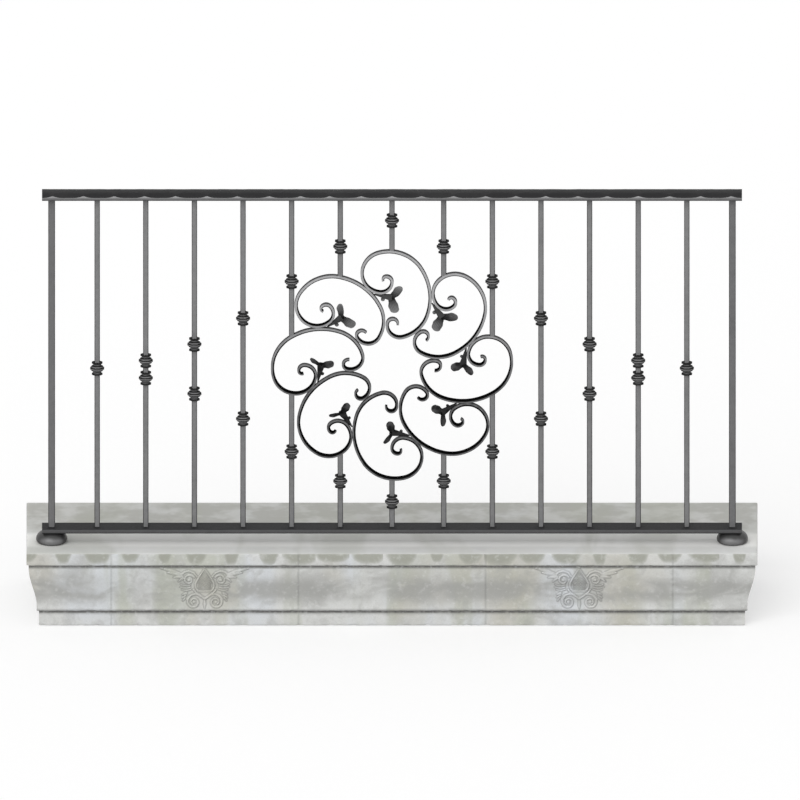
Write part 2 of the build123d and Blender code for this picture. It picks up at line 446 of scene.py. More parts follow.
@dataclass(frozen=True)
class WeatheredStone:
    """Pale limestone: wet stains under its top arris, run-off streaks, grime and painted shade in
    nooks, a painted shade band, painted light on tops and under the rail, darker behind it.
    """

    name: str
    pale: Colour = (0.61, 0.615, 0.60)
    # A pale tone for random washed patches, and for painted light on up-facing faces.
    light: Colour = (0.76, 0.765, 0.755)
    cool: Colour = (0.61, 0.635, 0.665)
    grey: Colour = (0.365, 0.365, 0.35)
    warm: Colour = (0.48, 0.46, 0.395)
    green: Colour = (0.43, 0.445, 0.37)
    stain: Colour = (0.32, 0.325, 0.28)
    # Grime and painted shade under overhangs and beside the carving, and grime along the joints.
    soot_and_shade: Colour = (0.10, 0.10, 0.095)
    # Painted light: the top under the bottom rail is lightened to cancel the rail's shadow.
    painted_light_under_rail: Colour = (0.92, 0.92, 0.90)
    # Darker colour of the top behind the railing.
    behind_rail_dark: Colour = (0.39, 0.39, 0.355)
    behind_rail_span: tuple[float, float] = (-70 * MM, 20 * MM)
    # Where that painted light starts and ends across the ledge.
    painted_light_front: tuple[float, float] = (-190 * MM, -155 * MM)
    painted_light_back: tuple[float, float] = (-70 * MM, -30 * MM)
    top: float = 231 * MM
    front: float = -240 * MM
    stain_pitch: float = 97.5 * MM
    stain_start: float = -26 * MM
    stain_drop: float = 33 * MM
    # Heights of a band of painted shade across the downward-facing middle of the moulding.
    painted_shade_band_low: tuple[float, float] = (62 * MM, 100 * MM)
    painted_shade_band_high: tuple[float, float] = (128 * MM, 165 * MM)

    def material(self) -> bpy.types.Material:
        """Build the material."""
        shader = Shader(self.name)
        place = [shader.axis(shader.coordinates, name) for name in "XYZ"]
        grain = shader.clouds(330.0, 5.0, 0.65)
        coarse = shader.clouds(60.0, 4.0, 0.6)
        colour = self._mottled(shader, place)
        mottle = shader.clouds(11.0, 3.0, 0.6)
        stained = shader.mix(self._half_moons(shader, place), colour, self.stain)
        # Darkening carried on the points: grime and painted shade in nooks and beside the carving,
        # grime along joints.
        broken = shader.layer("grime_and_shade") * coarse.ramp(0.25, 0.6, 0.65, 1.0)
        sooty_and_shaded = shader.mix(broken * 0.95, stained, self.soot_and_shade)
        speckled = shader.mix(grain.ramp(0.48, 0.72, 0.0, 0.22), sooty_and_shaded, (0.24, 0.24, 0.22))
        washed = shader.mix(coarse.ramp(0.52, 0.72, 0.0, 0.24), speckled, self.light)
        upward = shader.axis(shader.facing, "Z").ramp(0.6, 0.95)
        y = place[1]
        # Painted light: up-facing faces lightened towards the pale tone.
        painted_light_top = shader.mix(upward * 0.75, washed, self.light)
        # The top behind the railing darker, in mottled patches.
        behind_rail_dark = y.ramp(*self.behind_rail_span) * upward * mottle.ramp(0.35, 0.6, 0.35, 0.75)
        rear_top = shader.mix(behind_rail_dark, painted_light_top, self.behind_rail_dark)
        # Painted light under the bottom rail, to cancel the rail's shadow.
        under_rail_light_mask = y.ramp(*self.painted_light_front) * y.ramp(*self.painted_light_back, 1.0, 0.0) * upward
        lit_under_rail = shader.mix(under_rail_light_mask * 0.85, rear_top, self.painted_light_under_rail)
        streaks = shader.clouds(6.0, 3.0, 0.55, 0.4, shader.stretched((1.0, 0.2, 1.0)))
        lit = shader.mix(streaks.ramp(0.48, 0.64, 0.0, 0.3) * upward, lit_under_rail, self.green)
        pits = shader.cells(170.0, 0.3)
        lumps = shader.bump(coarse, 0.5 * MM)
        pitted = shader.bump(pits.ramp(0.0, 0.35), 0.25 * MM, lumps)
        normal = shader.bump(grain, 0.3 * MM, pitted)
        rough = coarse.ramp(0.3, 0.7, 0.82, 0.95)
        return shader.surface({"Base Color": lit, "Roughness": rough, "Normal": normal})

    def _mottled(self, shader: Shader, place: Sequence[Channel]) -> bpy.types.NodeSocket:
        """The stone's ground colour with soft patches, run-off streaks and a darker band of painted
        shade.
        """
        blotches = shader.clouds(7.0, 4.0, 0.55, 0.4, shader.stretched((1.0, 1.2, 1.3)))
        coolness = shader.clouds(3.3, 2.0, 0.5, 0.0, shader.stretched((1.6, 1.0, 0.6)))
        runs = shader.clouds(7.5, 3.0, 0.55, 0.3, shader.stretched((1.0, 0.6, 0.16)))
        rust = shader.clouds(3.4, 2.0, 0.5, 0.0, shader.stretched((1.2, 1.0, 0.7)))
        mottle = shader.clouds(24.0, 4.0, 0.6, 0.5)
        cooled = shader.mix(coolness.ramp(0.48, 0.62, 0.0, 0.75), self.pale, self.cool)
        greyed = shader.mix(blotches.ramp(0.46, 0.68, 0.0, 0.55), cooled, self.grey)
        greened = shader.mix(runs.ramp(0.48, 0.64, 0.0, 0.65), greyed, self.green)
        warmed = shader.mix(rust.ramp(0.52, 0.66, 0.0, 0.55), greened, self.warm)
        z = place[2]
        # Painted shade: a darker band across the middle of the moulding.
        band = z.ramp(*self.painted_shade_band_low) * z.ramp(*self.painted_shade_band_high, 1.0, 0.0)
        belt = shader.clouds(6.0, 3.0, 0.6, 0.6, shader.stretched((0.8, 1.0, 1.6)))
        darker = band * belt.ramp(0.4, 0.58, 0.0, 0.8)
        banded = shader.mix(darker, warmed, self.grey)
        return shader.mix(mottle.ramp(0.48, 0.7, 0.0, 0.4), banded, self.grey)

    def _half_moons(self, shader: Shader, place: Sequence[Channel]) -> Channel:
        """Share of the wet stains that hang in a row from the ledge's top arris."""
        x, y, z = place
        ragged = shader.clouds(40.0, 3.0, 0.6)
        turns = (x - self.stain_start) / self.stain_pitch
        number = turns.apply("FLOOR")
        chance = [
            Channel(shader, shader.node(
                "ShaderNodeTexWhiteNoise", {"noise_dimensions": "1D"}, {"W": number + seed}
            ).outputs["Value"])
            for seed in (2.5, 31.5, 70.5)
        ]
        half = chance[0] * chance[0] * 0.44 + 0.2
        middle = (chance[1] - 0.5) * 0.24 + 0.5
        across = (turns - number - middle) / half
        down = (self.top - z) / self.stain_drop / (chance[2] * 0.35 + 0.75)
        slant = across / (1.0 - 0.35 * down.greater(0.0))
        gap = slant * slant * slant * slant + down * down * down
        soft = (gap + (ragged - 0.5) * 0.9).ramp(0.1, 1.5, 0.9, 0.0)
        on_front = (y - self.front).ramp(0.003, 0.007, 1.0, 0.0)
        below_slab = down.ramp(1.35, 1.5, 1.0, 0.0)
        return soft * on_front * below_slab


# The irons, with painted shade at the bottom, on the sides and on up-facing faces, and the handrail's
# painted highlight.
BAR_IRON = ForgedIron(
    "iron_bars", front=(0.205, 0.205, 0.207), painted_shade_low_front=(0.185, 0.185, 0.187),
    painted_shade_flank=(0.03, 0.03, 0.031), turned=(0.8, 0.995),
)
POST_IRON = ForgedIron("iron_posts", front=(0.15, 0.15, 0.152), painted_shade_flank=(0.03, 0.03, 0.031))
HANDRAIL_IRON = ForgedIron(
    "iron_handrail", front=(0.14, 0.14, 0.142), painted_shade_low_front=(0.03, 0.03, 0.031),
    painted_shade_heights=(1.2815, 1.2848), worn=0.08, painted_highlight_heights=(1.2865, 1.293), turned=(0.5, 0.96),
)
RAIL_IRON = ForgedIron(
    "iron_bottom_rail", front=(0.085, 0.085, 0.087), painted_shade_low_front=(0.02, 0.02, 0.02),
    painted_shade_heights=(0.2675, 0.2712), worn=0.06, turned=(0.5, 0.96),
)
FOOT_IRON = ForgedIron(
    "iron_feet", front=(0.15, 0.15, 0.152), painted_shade_flank=(0.02, 0.02, 0.02), upward=(0.03, 0.03, 0.03),
    specular=0.5, metallic=0.12, roughness=0.36, hammer_depth=0.05 * MM, turned=(0.5, 0.96),
)
COLLAR_IRON = ForgedIron(
    "iron_collars", front=(0.27, 0.27, 0.273), painted_shade_flank=(0.03, 0.03, 0.031), specular=0.05,
    groove=(0.006, 0.006, 0.006), turned=(0.2, 0.7), lying=(0.88, 0.99),
)
SCROLL_IRON = ForgedIron(
    "iron_scrolls", front=(0.38, 0.38, 0.385), painted_shade_low_front=(0.085, 0.085, 0.087),
    painted_shade_flank=(0.04, 0.04, 0.041), upward=(0.08, 0.08, 0.081), groove=(0.003, 0.003, 0.003),
    painted_shade_heights=(0.64, 1.04), turned=(0.5, 0.9), painted_low_inner_shade=0.24, metallic=0.0, specular=0.0, roughness=0.7,
)
LEAF_IRON = ForgedIron(
    "iron_leaves", front=(0.24, 0.24, 0.242), painted_shade_low_front=(0.022, 0.022, 0.023),
    painted_shade_flank=(0.02, 0.02, 0.02), upward=(0.03, 0.03, 0.03), groove=(0.004, 0.004, 0.004),
    painted_shade_heights=(0.74, 1.0), worn=0.2, turned=(0.3, 0.85), metallic=0.0, specular=0.02, roughness=0.7,
)
LEDGE_STONE = WeatheredStone("weathered_stone")


# Pieces

def dress(piece: bpy.types.Object, material: bpy.types.Material) -> None:
    """Give every face of a piece one material."""
    piece.data.materials.clear()
    piece.data.materials.append(material)


def fit_on(piece: bpy.types.Object, slot: str, *nodes: str) -> None:
    """Fasten a finished piece to the object.

    Args:
        piece: The piece, with its place in its mesh.
        slot: The record's material slot; not used.
        nodes: Nodes that the piece stands for.
    """
    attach(piece, BODY)
    if nodes:
        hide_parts(*nodes)
    LOG.info("made %s with %d faces", piece.name, len(piece.data.polygons))


# Forming pieces

@dataclass
class Skin:
    """Points and faces of one piece while it is being shaped."""

    points: list[Vector] = field(default_factory=list)
    faces: list[tuple[int, ...]] = field(default_factory=list)

    def loft(self, rings: Sequence[Sequence[Vector]]) -> None:
        """Skin a row of rings that have the same number of points, and close both ends.

        Args:
            rings: The rings, from one end to the other.
        """
        first = len(self.points)
        count = len(rings[0])
        for ring in rings:
            self.points.extend(ring)
        for row in range(len(rings) - 1):
            low = first + row * count
            for i in range(count):
                j = (i + 1) % count
                self.faces.append((low + i, low + j, low + count + j, low + count + i))
        last = first + (len(rings) - 1) * count
        self.faces.append(tuple(range(first + count - 1, first - 1, -1)))
        self.faces.append(tuple(range(last, last + count)))

    def piece(self, name: str, sharp: float = 38.0) -> bpy.types.Object:
        """Turn the skin into an object.

        Args:
            name: Name of the piece.
            sharp: Edges that bend more than this many degrees stay crisp.

        Returns:
            The object, at the origin, with its faces pointing outwards.
        """
        mesh = bpy.data.meshes.new(name)
        mesh.from_pydata(self.points, [], self.faces)
        shaped = bmesh.new()
        shaped.from_mesh(mesh)
        bmesh.ops.recalc_face_normals(shaped, faces=shaped.faces)
        shaped.to_mesh(mesh)
        shaped.free()
        mesh.shade_smooth()
        mesh.set_sharp_from_angle(angle=math.radians(sharp))
        for face in mesh.polygons:
            face.use_smooth = len(face.vertices) == 4
        made = bpy.data.objects.new(name, mesh)
        bpy.context.collection.objects.link(made)
        return made


def solids_of(name: str) -> list[list[Vector]]:
    """Corner points of each separate solid of a CAD node.

    Args:
        name: The node's name.

    Returns:
        One list of points in metres for each solid, lowest solid first.
    """
    node = bpy.data.objects[name]
    copy = bmesh.new()
    copy.from_mesh(node.data)
    bmesh.ops.remove_doubles(copy, verts=copy.verts, dist=0.01 * MM)
    waiting = set(copy.verts)
    solids = []
    while waiting:
        start = waiting.pop()
        group, edge = [start], [start]
        while edge:
            for link in edge.pop().link_edges:
                for vert in link.verts:
                    if vert in waiting:
                        waiting.remove(vert)
                        group.append(vert)
                        edge.append(vert)
        solids.append([node.matrix_world @ vert.co for vert in group])
    copy.free()
    return sorted(solids, key=lambda points: min(p.z for p in points))


def evenly(low: float, high: float, step: float) -> list[float]:
    """Values from low to high that are no further apart than a step."""
    count = max(1, math.ceil((high - low) / step))
    return [low + (high - low) * i / count for i in range(count + 1)]


def rounded_rectangle(
    half_width: float, half_height: float, corner: float, per_corner: int = 3, step: float = 1.0
) -> list[tuple[float, float]]:
    """Points round a rectangle with rounded corners, anticlockwise from the lower right.

    Args:
        half_width: Half of its width.
        half_height: Half of its height.
        corner: Radius of the corners.
        per_corner: Facets in each corner.
        step: Longest stretch between points on the straight sides.

    Returns:
        The points.
    """
    w, h = half_width - corner, half_height - corner
    points: list[tuple[float, float]] = []
    for quarter, (cx, cy) in enumerate(((w, -h), (w, h), (-w, h), (-w, -h))):
        for i in range(per_corner + 1):
            angle = math.pi / 2 * (quarter - 1 + i / per_corner)
            points.append((cx + corner * math.cos(angle), cy + corner * math.sin(angle)))
        straight = 2 * (h if quarter % 2 == 0 else w)
        cuts = max(1, round(straight / step))
        nx, ny = ((w, h), (-w, h), (-w, -h), (w, -h))[quarter]
        angle = math.pi / 2 * quarter
        end = (nx + corner * math.cos(angle), ny + corner * math.sin(angle))
        x, y = points[-1]
        for i in range(1, cuts):
            points.append((blend(x, end[0], i / cuts), blend(y, end[1], i / cuts)))
    return points


def dent(point: Vector, size: float, depth: float) -> float:
    """Depth of an uneven surface at a point.

    Args:
        point: The place, in metres.
        size: Size of the dents.
        depth: Greatest depth.

    Returns:
        A value between -depth and depth.
    """
    return depth * noise.noise(point / size)


# Geometry rules

class GeometryRule(NodeBoard):
    """A geometry node tree with named inputs that shapes one kind of piece."""

    def __init__(self, name: str, inputs: Mapping[str, str]) -> None:
        super().__init__(bpy.data.node_groups.new(name, "GeometryNodeTree"))
        face = self.tree.interface
        face.new_socket("Geometry", in_out="INPUT", socket_type="NodeSocketGeometry")
        face.new_socket("Geometry", in_out="OUTPUT", socket_type="NodeSocketGeometry")
        self.labels = {}
        for label, kind in inputs.items():
            socket = face.new_socket(label, in_out="INPUT", socket_type=f"NodeSocket{kind}")
            self.labels[label] = socket.identifier
        self.entry = self.node("NodeGroupInput")

    def given(self, label: str) -> bpy.types.NodeSocket:
        """The value of a named input."""
        return self.entry.outputs[label]

    def number(self, label: str) -> Channel:
        """The value of a named input that is a number."""
        return Channel(self, self.given(label))

    def vector_math(self, operation: str, *operands: Any) -> bpy.types.NodeSocket:
        """Add a Vector Math node.

        Args:
            operation: Name of the node's operation.
            operands: Its inputs, in order.

        Returns:
            The resulting vector, or the resulting number of a dot product.
        """
        made = self.node(
            "ShaderNodeVectorMath", {"operation": operation}, dict(enumerate(operands))
        )
        return made.outputs["Value" if operation == "DOT_PRODUCT" else "Vector"]

    def close(self, geometry: bpy.types.NodeSocket) -> None:
        """End the tree in real geometry with the material that was given."""
        real = self.node("GeometryNodeRealizeInstances", None, {"Geometry": geometry})
        dressed = self.node(
            "GeometryNodeSetMaterial",
            None,
            {"Geometry": real.outputs[0], "Material": self.given("Material")},
        )
        self.node("NodeGroupOutput", None, {"Geometry": dressed.outputs[0]})

    def shape(
        self, name: str, host: bpy.types.Mesh, values: Mapping[str, Any], sharp: float = 38.0
    ) -> bpy.types.Object:
        """Run the rule on a mesh and keep the result as a plain piece.

        Args:
            name: Name of the piece.
            host: Mesh that the rule starts from.
            values: Value of each named input.
            sharp: Edges that bend more than this many degrees stay crisp.

        Returns:
            The finished piece.
        """
        piece = bpy.data.objects.new(name, host)
        bpy.context.collection.objects.link(piece)
        rule = piece.modifiers.new("rule", "NODES")
        rule.node_group = self.tree
        for label, value in values.items():
            rule[self.labels[label]] = value
        scene = bpy.context.evaluated_depsgraph_get()
        result = bpy.data.meshes.new_from_object(piece.evaluated_get(scene), depsgraph=scene)
        piece.modifiers.remove(rule)
        piece.data = result
        result.name = name
        bpy.data.meshes.remove(host)
        result.shade_smooth()
        result.set_sharp_from_angle(angle=math.radians(sharp))
        return piece


# Rails, posts and balusters

@dataclass
class UprightBars:
    """Square bars, a little uneven from the forge, their ends let into what they meet."""

    material: bpy.types.Material
    corner: float = 3.2 * MM
    shrink: float = 0.0
    step: float = 9.0 * MM
    dent_size: float = 28.0 * MM
    dent_depth: float = 0.28 * MM
    plain_embed: float = 0.6 * MM
    scroll_embed: float = 3.2 * MM
    same_place: float = 0.3 * MM

    def build(self, names: Iterable[str]) -> None:
        """Make a bar for each CAD node that is named."""
        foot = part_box("bottom_rail")[1].z
        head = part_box("handrail")[0].z
        for name in names:
            skin = Skin()
            for solid in solids_of(name):
                skin.loft(self._bar(solid, foot, head))
            bar = skin.piece(f"{name}_bar")
            dress(bar, self.material)
            fit_on(bar, IRON_SLOT, name)

    def _bar(self, solid: Sequence[Vector], foot: float, head: float) -> list[list[Vector]]:
        """Rings of one stretch of bar.

        Args:
            solid: Corner points of the stretch in the CAD model.
            foot: Height at which bars start.
            head: Height at which bars end.

        Returns:
            Rings from the bottom to the top.
        """
        xs = [p.x for p in solid]
        ys = [p.y for p in solid]
        left, right = min(xs), max(xs)
        middle = Vector(((left + right) / 2, (min(ys) + max(ys)) / 2, 0.0))
        half = (right - left) / 2 - self.shrink
        bottom = self._end(solid, left, right, min, foot)
        top = self._end(solid, left, right, max, head)
        outline = rounded_rectangle(half, half, self.corner, 4, 4.0 * MM)
        shares = evenly(0.0, 1.0, self.step / (top[0] - bottom[0]))
        return [[self._point(middle, spot, half, bottom, top, t) for spot in outline] for t in shares]

    def _end(
        self,
        solid: Sequence[Vector],
        left: float,
        right: float,
        furthest: Callable[[Iterable[float]], float],
        rail: float,
    ) -> tuple[float, float]:
        """Height of a bar's end at its left and right face.

        Args:
            solid: Corner points of the stretch.
            left: Place of the left face.
            right: Place of the right face.
            furthest: min for the lower end and max for the upper end.
            rail: Height of the rail that a plain end meets.

        Returns:
            The two heights, with the bar let in far enough to hide its end.
        """
        sides = [
            furthest(p.z for p in solid if abs(p.x - x) < self.same_place) for x in (left, right)
        ]
        outwards = -1.0 if furthest is min else 1.0
        plain = abs(sides[0] - rail) < MM
        embed = outwards * (self.plain_embed if plain else self.scroll_embed)
        return sides[0] + embed, sides[1] + embed

    def _point(
        self,
        middle: Vector,
        spot: tuple[float, float],
        half: float,
        bottom: tuple[float, float],
        top: tuple[float, float],
        share: float,
    ) -> Vector:
        """One point of a bar's surface.

        Args:
            middle: Middle of the bar in plan.
            spot: Point of the section.
            half: Half of the bar's side.
            bottom: Heights of the lower end, left and right.
            top: Heights of the upper end, left and right.
            share: How far up the bar the point lies.

        Returns:
            The point, dented a little.
        """
        across = (spot[0] / half + 1) / 2
        low, high = blend(*bottom, across), blend(*top, across)
        point = middle + Vector((spot[0], spot[1], blend(low, high, share)))
        inwards = dent(point, self.dent_size, self.dent_depth) - self.dent_depth
        return point + Vector((spot[0], spot[1], 0.0)).normalized() * min(0.0, inwards * 0.6)


@dataclass
class Handrail:
    """Flat bar with a crowned top, its front edge beaten into a row of shallow hollows."""

    material: bpy.types.Material
    edge: float = 16.0 * MM
    crown: float = 2.7 * MM
    corner: float = 1.6 * MM
    pitch: float = 89.5 * MM
    start: float = 0.0
    depth: float = 6.5 * MM
    slope: float = 24.0
    step: float = 4.0 * MM
    blend_width: float = 3.0 * MM

    def build(self) -> None:
        """Make the handrail."""
        low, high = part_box("handrail")
        half = (high.y - low.y) / 2
        rule = self._rule(half)
        values = {
            "Pitch": self.pitch,
            "Start": self.start,
            "Depth": self.depth,
            "Slope": math.tan(math.radians(self.slope)),
            "Seed": 3.0,
            "Material": self.material,
        }
        rail = rule.shape("beaten_handrail", self._blank(low, high, half), values, 50.0)
        fit_on(rail, IRON_SLOT, "handrail")

    def _blank(self, low: Vector, high: Vector, half: float) -> bpy.types.Mesh:
        """The bar before it is beaten, about the middle of its underside.

        Args:
            low: Lower corner of the CAD node's box.
            high: Upper corner.
            half: Half of the bar's width.

        Returns:
            Its mesh.
        """
        skin = Skin()
        section = rounded_rectangle(half - 0.2 * MM, self.edge / 2, self.corner, 3, 2.4 * MM)
        rings = []
        for x in evenly(low.x, high.x, self.step):
            ring = []
            for y, z in section:
                height = z + self.edge / 2
                lifted = height * (1 + self.crown / self.edge * (1 - (y / half) ** 2))
                ring.append(Vector((x, y, lifted)))
            rings.append(ring)
        skin.loft(rings)
        blank = skin.piece("blank_handrail")
        mesh = blank.data
        bpy.data.objects.remove(blank)
        return mesh

    def _rule(self, half: float) -> GeometryRule:
        """The rule that beats hollows into the front edge and sets the bar in its place."""
        low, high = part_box("handrail")
        rule = GeometryRule("beaten_edge", {
            "Pitch": "Float", "Start": "Float", "Depth": "Float", "Slope": "Float",
            "Seed": "Float", "Material": "Material",
        })
        place = rule.node("GeometryNodeInputPosition").outputs[0]
        parts = rule.node("ShaderNodeSeparateXYZ", None, {0: place})
        x, y, z = (Channel(rule, parts.outputs[i]) for i in range(3))
        wander = rule.node(
            "ShaderNodeTexNoise",
            {"noise_dimensions": "2D"},
            {"Vector": rule.node("ShaderNodeCombineXYZ", None, {
                "X": x, "Y": rule.number("Seed")}).outputs[0], "Scale": 5.0},
        )
        shift = (Channel(rule, wander.outputs[0]) - 0.5) * rule.number("Pitch") * 0.2
        turns = (x + shift - rule.number("Start")) / rule.number("Pitch")
        across = (turns - turns.apply("FLOOR") - 0.5) * 2.0
        inwards = y + half
        swell = across * across
        rise = rule.number("Depth") * (swell * swell) + inwards * rule.number("Slope")
        hollow = rise + (self.edge - rule.number("Depth"))
        top = (1.0 - (y / half) * (y / half)) * self.crown + self.edge
        left = top.smooth_minimum(hollow, self.blend_width) / top
        ripple = rule.node("ShaderNodeTexNoise", None, {"Vector": place, "Scale": 38.0})
        wobble = (Channel(rule, ripple.outputs[0]) - 0.5) * (1.2 * MM)
        beaten = z * left + wobble * (z / self.edge)
        spot = rule.node("ShaderNodeCombineXYZ", None, {"X": x, "Y": y, "Z": beaten})
        centre = (0.0, (low.y + high.y) / 2, low.z)
        moved = rule.vector_math("ADD", spot.outputs[0], centre)
        placed = rule.node(
            "GeometryNodeSetPosition",
            None,
            {"Geometry": rule.given("Geometry"), "Position": moved},
        )
        rule.close(placed.outputs[0])
        return rule


@dataclass
class FlatRail:
    """The bottom rail: a plain flat bar with softened edges."""

    material: bpy.types.Material
    corner: float = 1.8 * MM
    step: float = 8.0 * MM
    dent_size: float = 34.0 * MM
    dent_depth: float = 0.3 * MM

    def build(self) -> None:
        """Make the bottom rail."""
        low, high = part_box("bottom_rail")
        middle = (low + high) / 2
        half = (high - low) / 2
        outline = rounded_rectangle(half.y, half.z, self.corner, 3, 5.0 * MM)
        rings = []
        for x in evenly(low.x, high.x, self.step):
            ring = []
            for y, z in outline:
                point = Vector((x, middle.y + y, middle.z + z))
                inwards = min(0.0, dent(point, self.dent_size, self.dent_depth))
                ring.append(point + Vector((0.0, y, z)).normalized() * inwards)
            rings.append(ring)
        skin = Skin()
        skin.loft(rings)
        rail = skin.piece("flat_bottom_rail")
        dress(rail, self.material)
        fit_on(rail, IRON_SLOT, "bottom_rail")


@dataclass
class Feet:
    """Cast buns under the ends of the bottom rail, widest a little above the stone."""

    material: bpy.types.Material
    belly: float = 11.0 * MM
    base_share: float = 0.76
    top_share: float = 0.33
    facets: int = 72

    def build(self, names: Iterable[str]) -> None:
        """Make a foot for each CAD node that is named."""
        for name in names:
            low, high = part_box(name)
            middle = (low + high) / 2
            radius = (high.x - low.x) / 2
            skin = Skin()
            skin.loft([
                [
                    Vector((
                        middle.x + r * radius * math.cos(a), middle.y + r * radius * math.sin(a),
                        low.z + z,
                    ))
                    for a in (2 * math.pi * i / self.facets for i in range(self.facets))
                ]
                for r, z in self._profile(high.z - low.z)
            ])
            foot = skin.piece(f"{name}_dome", 50.0)
            dress(foot, self.material)
            fit_on(foot, IRON_SLOT, name)

    def _profile(self, height: float) -> list[tuple[float, float]]:
        """Radius share and height of each ring, from the base to the rail."""
        profile = [(0.4, 0.0)]
        for i in range(11):
            angle = math.pi / 2 * i / 10
            share = blend(self.base_share, 1.0, math.sin(angle))
            profile.append((share, self.belly * (1 - math.cos(angle))))
        for i in range(1, 19):
            angle = math.pi / 2 * i / 18
            share = blend(1.0, self.top_share, 1 - math.cos(angle))
            profile.append((share, blend(self.belly, height, math.sin(angle))))
        profile.append((self.top_share * 0.5, height))
        return profile


# Collars

@dataclass
class Collars:
    """Ribbed square knuckles, cast once and slipped over every baluster."""

    material: bpy.types.Material
    flange: float = 15.5 * MM
    neck: float = 10.8 * MM
    bulge: float = 20.5 * MM
    corner_share: float = 0.45
    height: float = 37.0 * MM
    flange_height: float = 2.5 * MM
    flare_height: float = 4.0 * MM
    rib_pitch: float = 6.2 * MM
    rib_depth: float = 1.5 * MM
    step: float = 0.6 * MM

    def build(self, names: Iterable[str]) -> None:
        """Make the collars of each CAD node that is named."""
        template = self._casting()
        rule = self._rule()
        for name in names:
            centres = []
            for solid in solids_of(name):
                low = Vector([min(p[i] for p in solid) for i in range(3)])
                high = Vector([max(p[i] for p in solid) for i in range(3)])
                centres.append((low + high) / 2)
            host = bpy.data.meshes.new(name)
            host.from_pydata(centres, [], [])
            values = {"Collar": template, "Seed": 5, "Turn": 0.012, "Material": self.material}
            collars = rule.shape(f"{name}_castings", host, values, 32.0)
            fit_on(collars, IRON_SLOT, name)
        bpy.data.objects.remove(template)

    def _half_width(self, z: float, half_height: float) -> float:
        """Half of the collar's width at a height above its middle.

        Args:
            z: Height above the middle, of either sign.
            half_height: Half of the collar's height.

        Returns:
            Half of the width.
        """
        up = abs(z)
        flare_top = half_height - self.flange_height
        flare_foot = flare_top - self.flare_height
        if up > half_height - 0.9 * MM:
            return self.flange - 0.7 * MM * (up - half_height + 0.9 * MM) / (0.9 * MM)
        if up > flare_top:
            return self.flange
        if up > flare_foot:
            return blend(self.neck, self.flange, ((up - flare_foot) / self.flare_height) ** 2)
        swell = max(0.0, 1 - up / flare_foot)
        envelope = blend(self.neck, self.bulge, min(1.0, 1.15 * swell))
        return envelope - self.rib_depth * self._wave(up) ** 0.8

    def _wave(self, up: float) -> float:
        """How deep the ribbed middle is at a distance from the collar's middle, from 0 to 1."""
        return (1 - math.cos(2 * math.pi * up / self.rib_pitch)) / 2

    def _painted_groove_shade(self, z: float, half_height: float) -> float:
        """Painted shade of the casting at a height: 0.93 on a flange, 0.75 on a flare, and from 0 on a
        rib to 1 in a groove.
        """
        up = abs(z)
        if up > half_height - self.flange_height:
            return 0.93
        if up > half_height - self.flange_height - self.flare_height:
            return 0.75
        return self._wave(up) ** 0.5

    def _casting(self) -> bpy.types.Object:
        """One collar about the origin, as the shape that is repeated."""
        half_height = self.height / 2
        rings, grooves = [], []
        for z in evenly(-half_height, half_height, self.step):
            h = self._half_width(z, half_height)
            c = self.corner_share * h
            spots = [(h, -c), (h, c), (c, h), (-c, h), (-h, c), (-h, -c), (-c, -h), (c, -h)]
            rings.append([Vector((x, y, z)) for x, y in spots])
            grooves += [self._painted_groove_shade(z, half_height)] * len(spots)
        skin = Skin()
        skin.loft(rings)
        casting = skin.piece("collar_pattern", 32.0)
        # Painted shade of the casting, kept on its points for the material.
        layer = casting.data.attributes.new("groove", "FLOAT", "POINT")
        layer.data.foreach_set("value", numpy.array(grooves, dtype=numpy.float32))
        return casting

    def _rule(self) -> GeometryRule:
        """The rule that repeats the collar at each point, hardly turned."""
        rule = GeometryRule("collars_on_bars", {
            "Collar": "Object", "Turn": "Float", "Seed": "Int", "Material": "Material",
        })
        shape = rule.node("GeometryNodeObjectInfo", None, {"Object": rule.given("Collar")})
        most = rule.node("ShaderNodeCombineXYZ", None, {"Z": rule.given("Turn")})
        least = rule.vector_math("SCALE", most.outputs[0])
        least.node.inputs["Scale"].default_value = -1.0
        turn = rule.node(
            "FunctionNodeRandomValue",
            {"data_type": "FLOAT_VECTOR"},
            {"Min": least, "Max": most.outputs[0], "Seed": rule.given("Seed")},
        )
        placed = rule.node(
            "GeometryNodeInstanceOnPoints",
            None,
            {
                "Points": rule.given("Geometry"),
                "Instance": shape.outputs["Geometry"],
                "Rotation": turn.outputs[0],
            },
        )
        rule.close(placed.outputs[0])
        return rule


# Wreath

@dataclass(frozen=True)
class Arc:
    """An arc that turns clockwise, in millimetres about the wreath's middle."""

    centre: tuple[float, float]
    radius: float
    start: float
    turn: float

    def point(self, share: float, offset: float = 0.0) -> tuple[float, float]:
        """A point a share of the way along, moved away from the arc's centre by an offset."""
        angle = self.start - share * self.turn
        reach = self.radius + offset
        return (
            self.centre[0] + reach * math.cos(angle), self.centre[1] + reach * math.sin(angle)
        )

    def handle(self, share: float, pieces: int) -> Vector:
        """Bezier handle that leads on from a point, where the arc is cut into equal pieces."""
        angle = self.start - share * self.turn
        length = 4 / 3 * math.tan(self.turn / pieces / 4) * self.radius
        return Vector((math.sin(angle), -math.cos(angle), 0.0)) * length


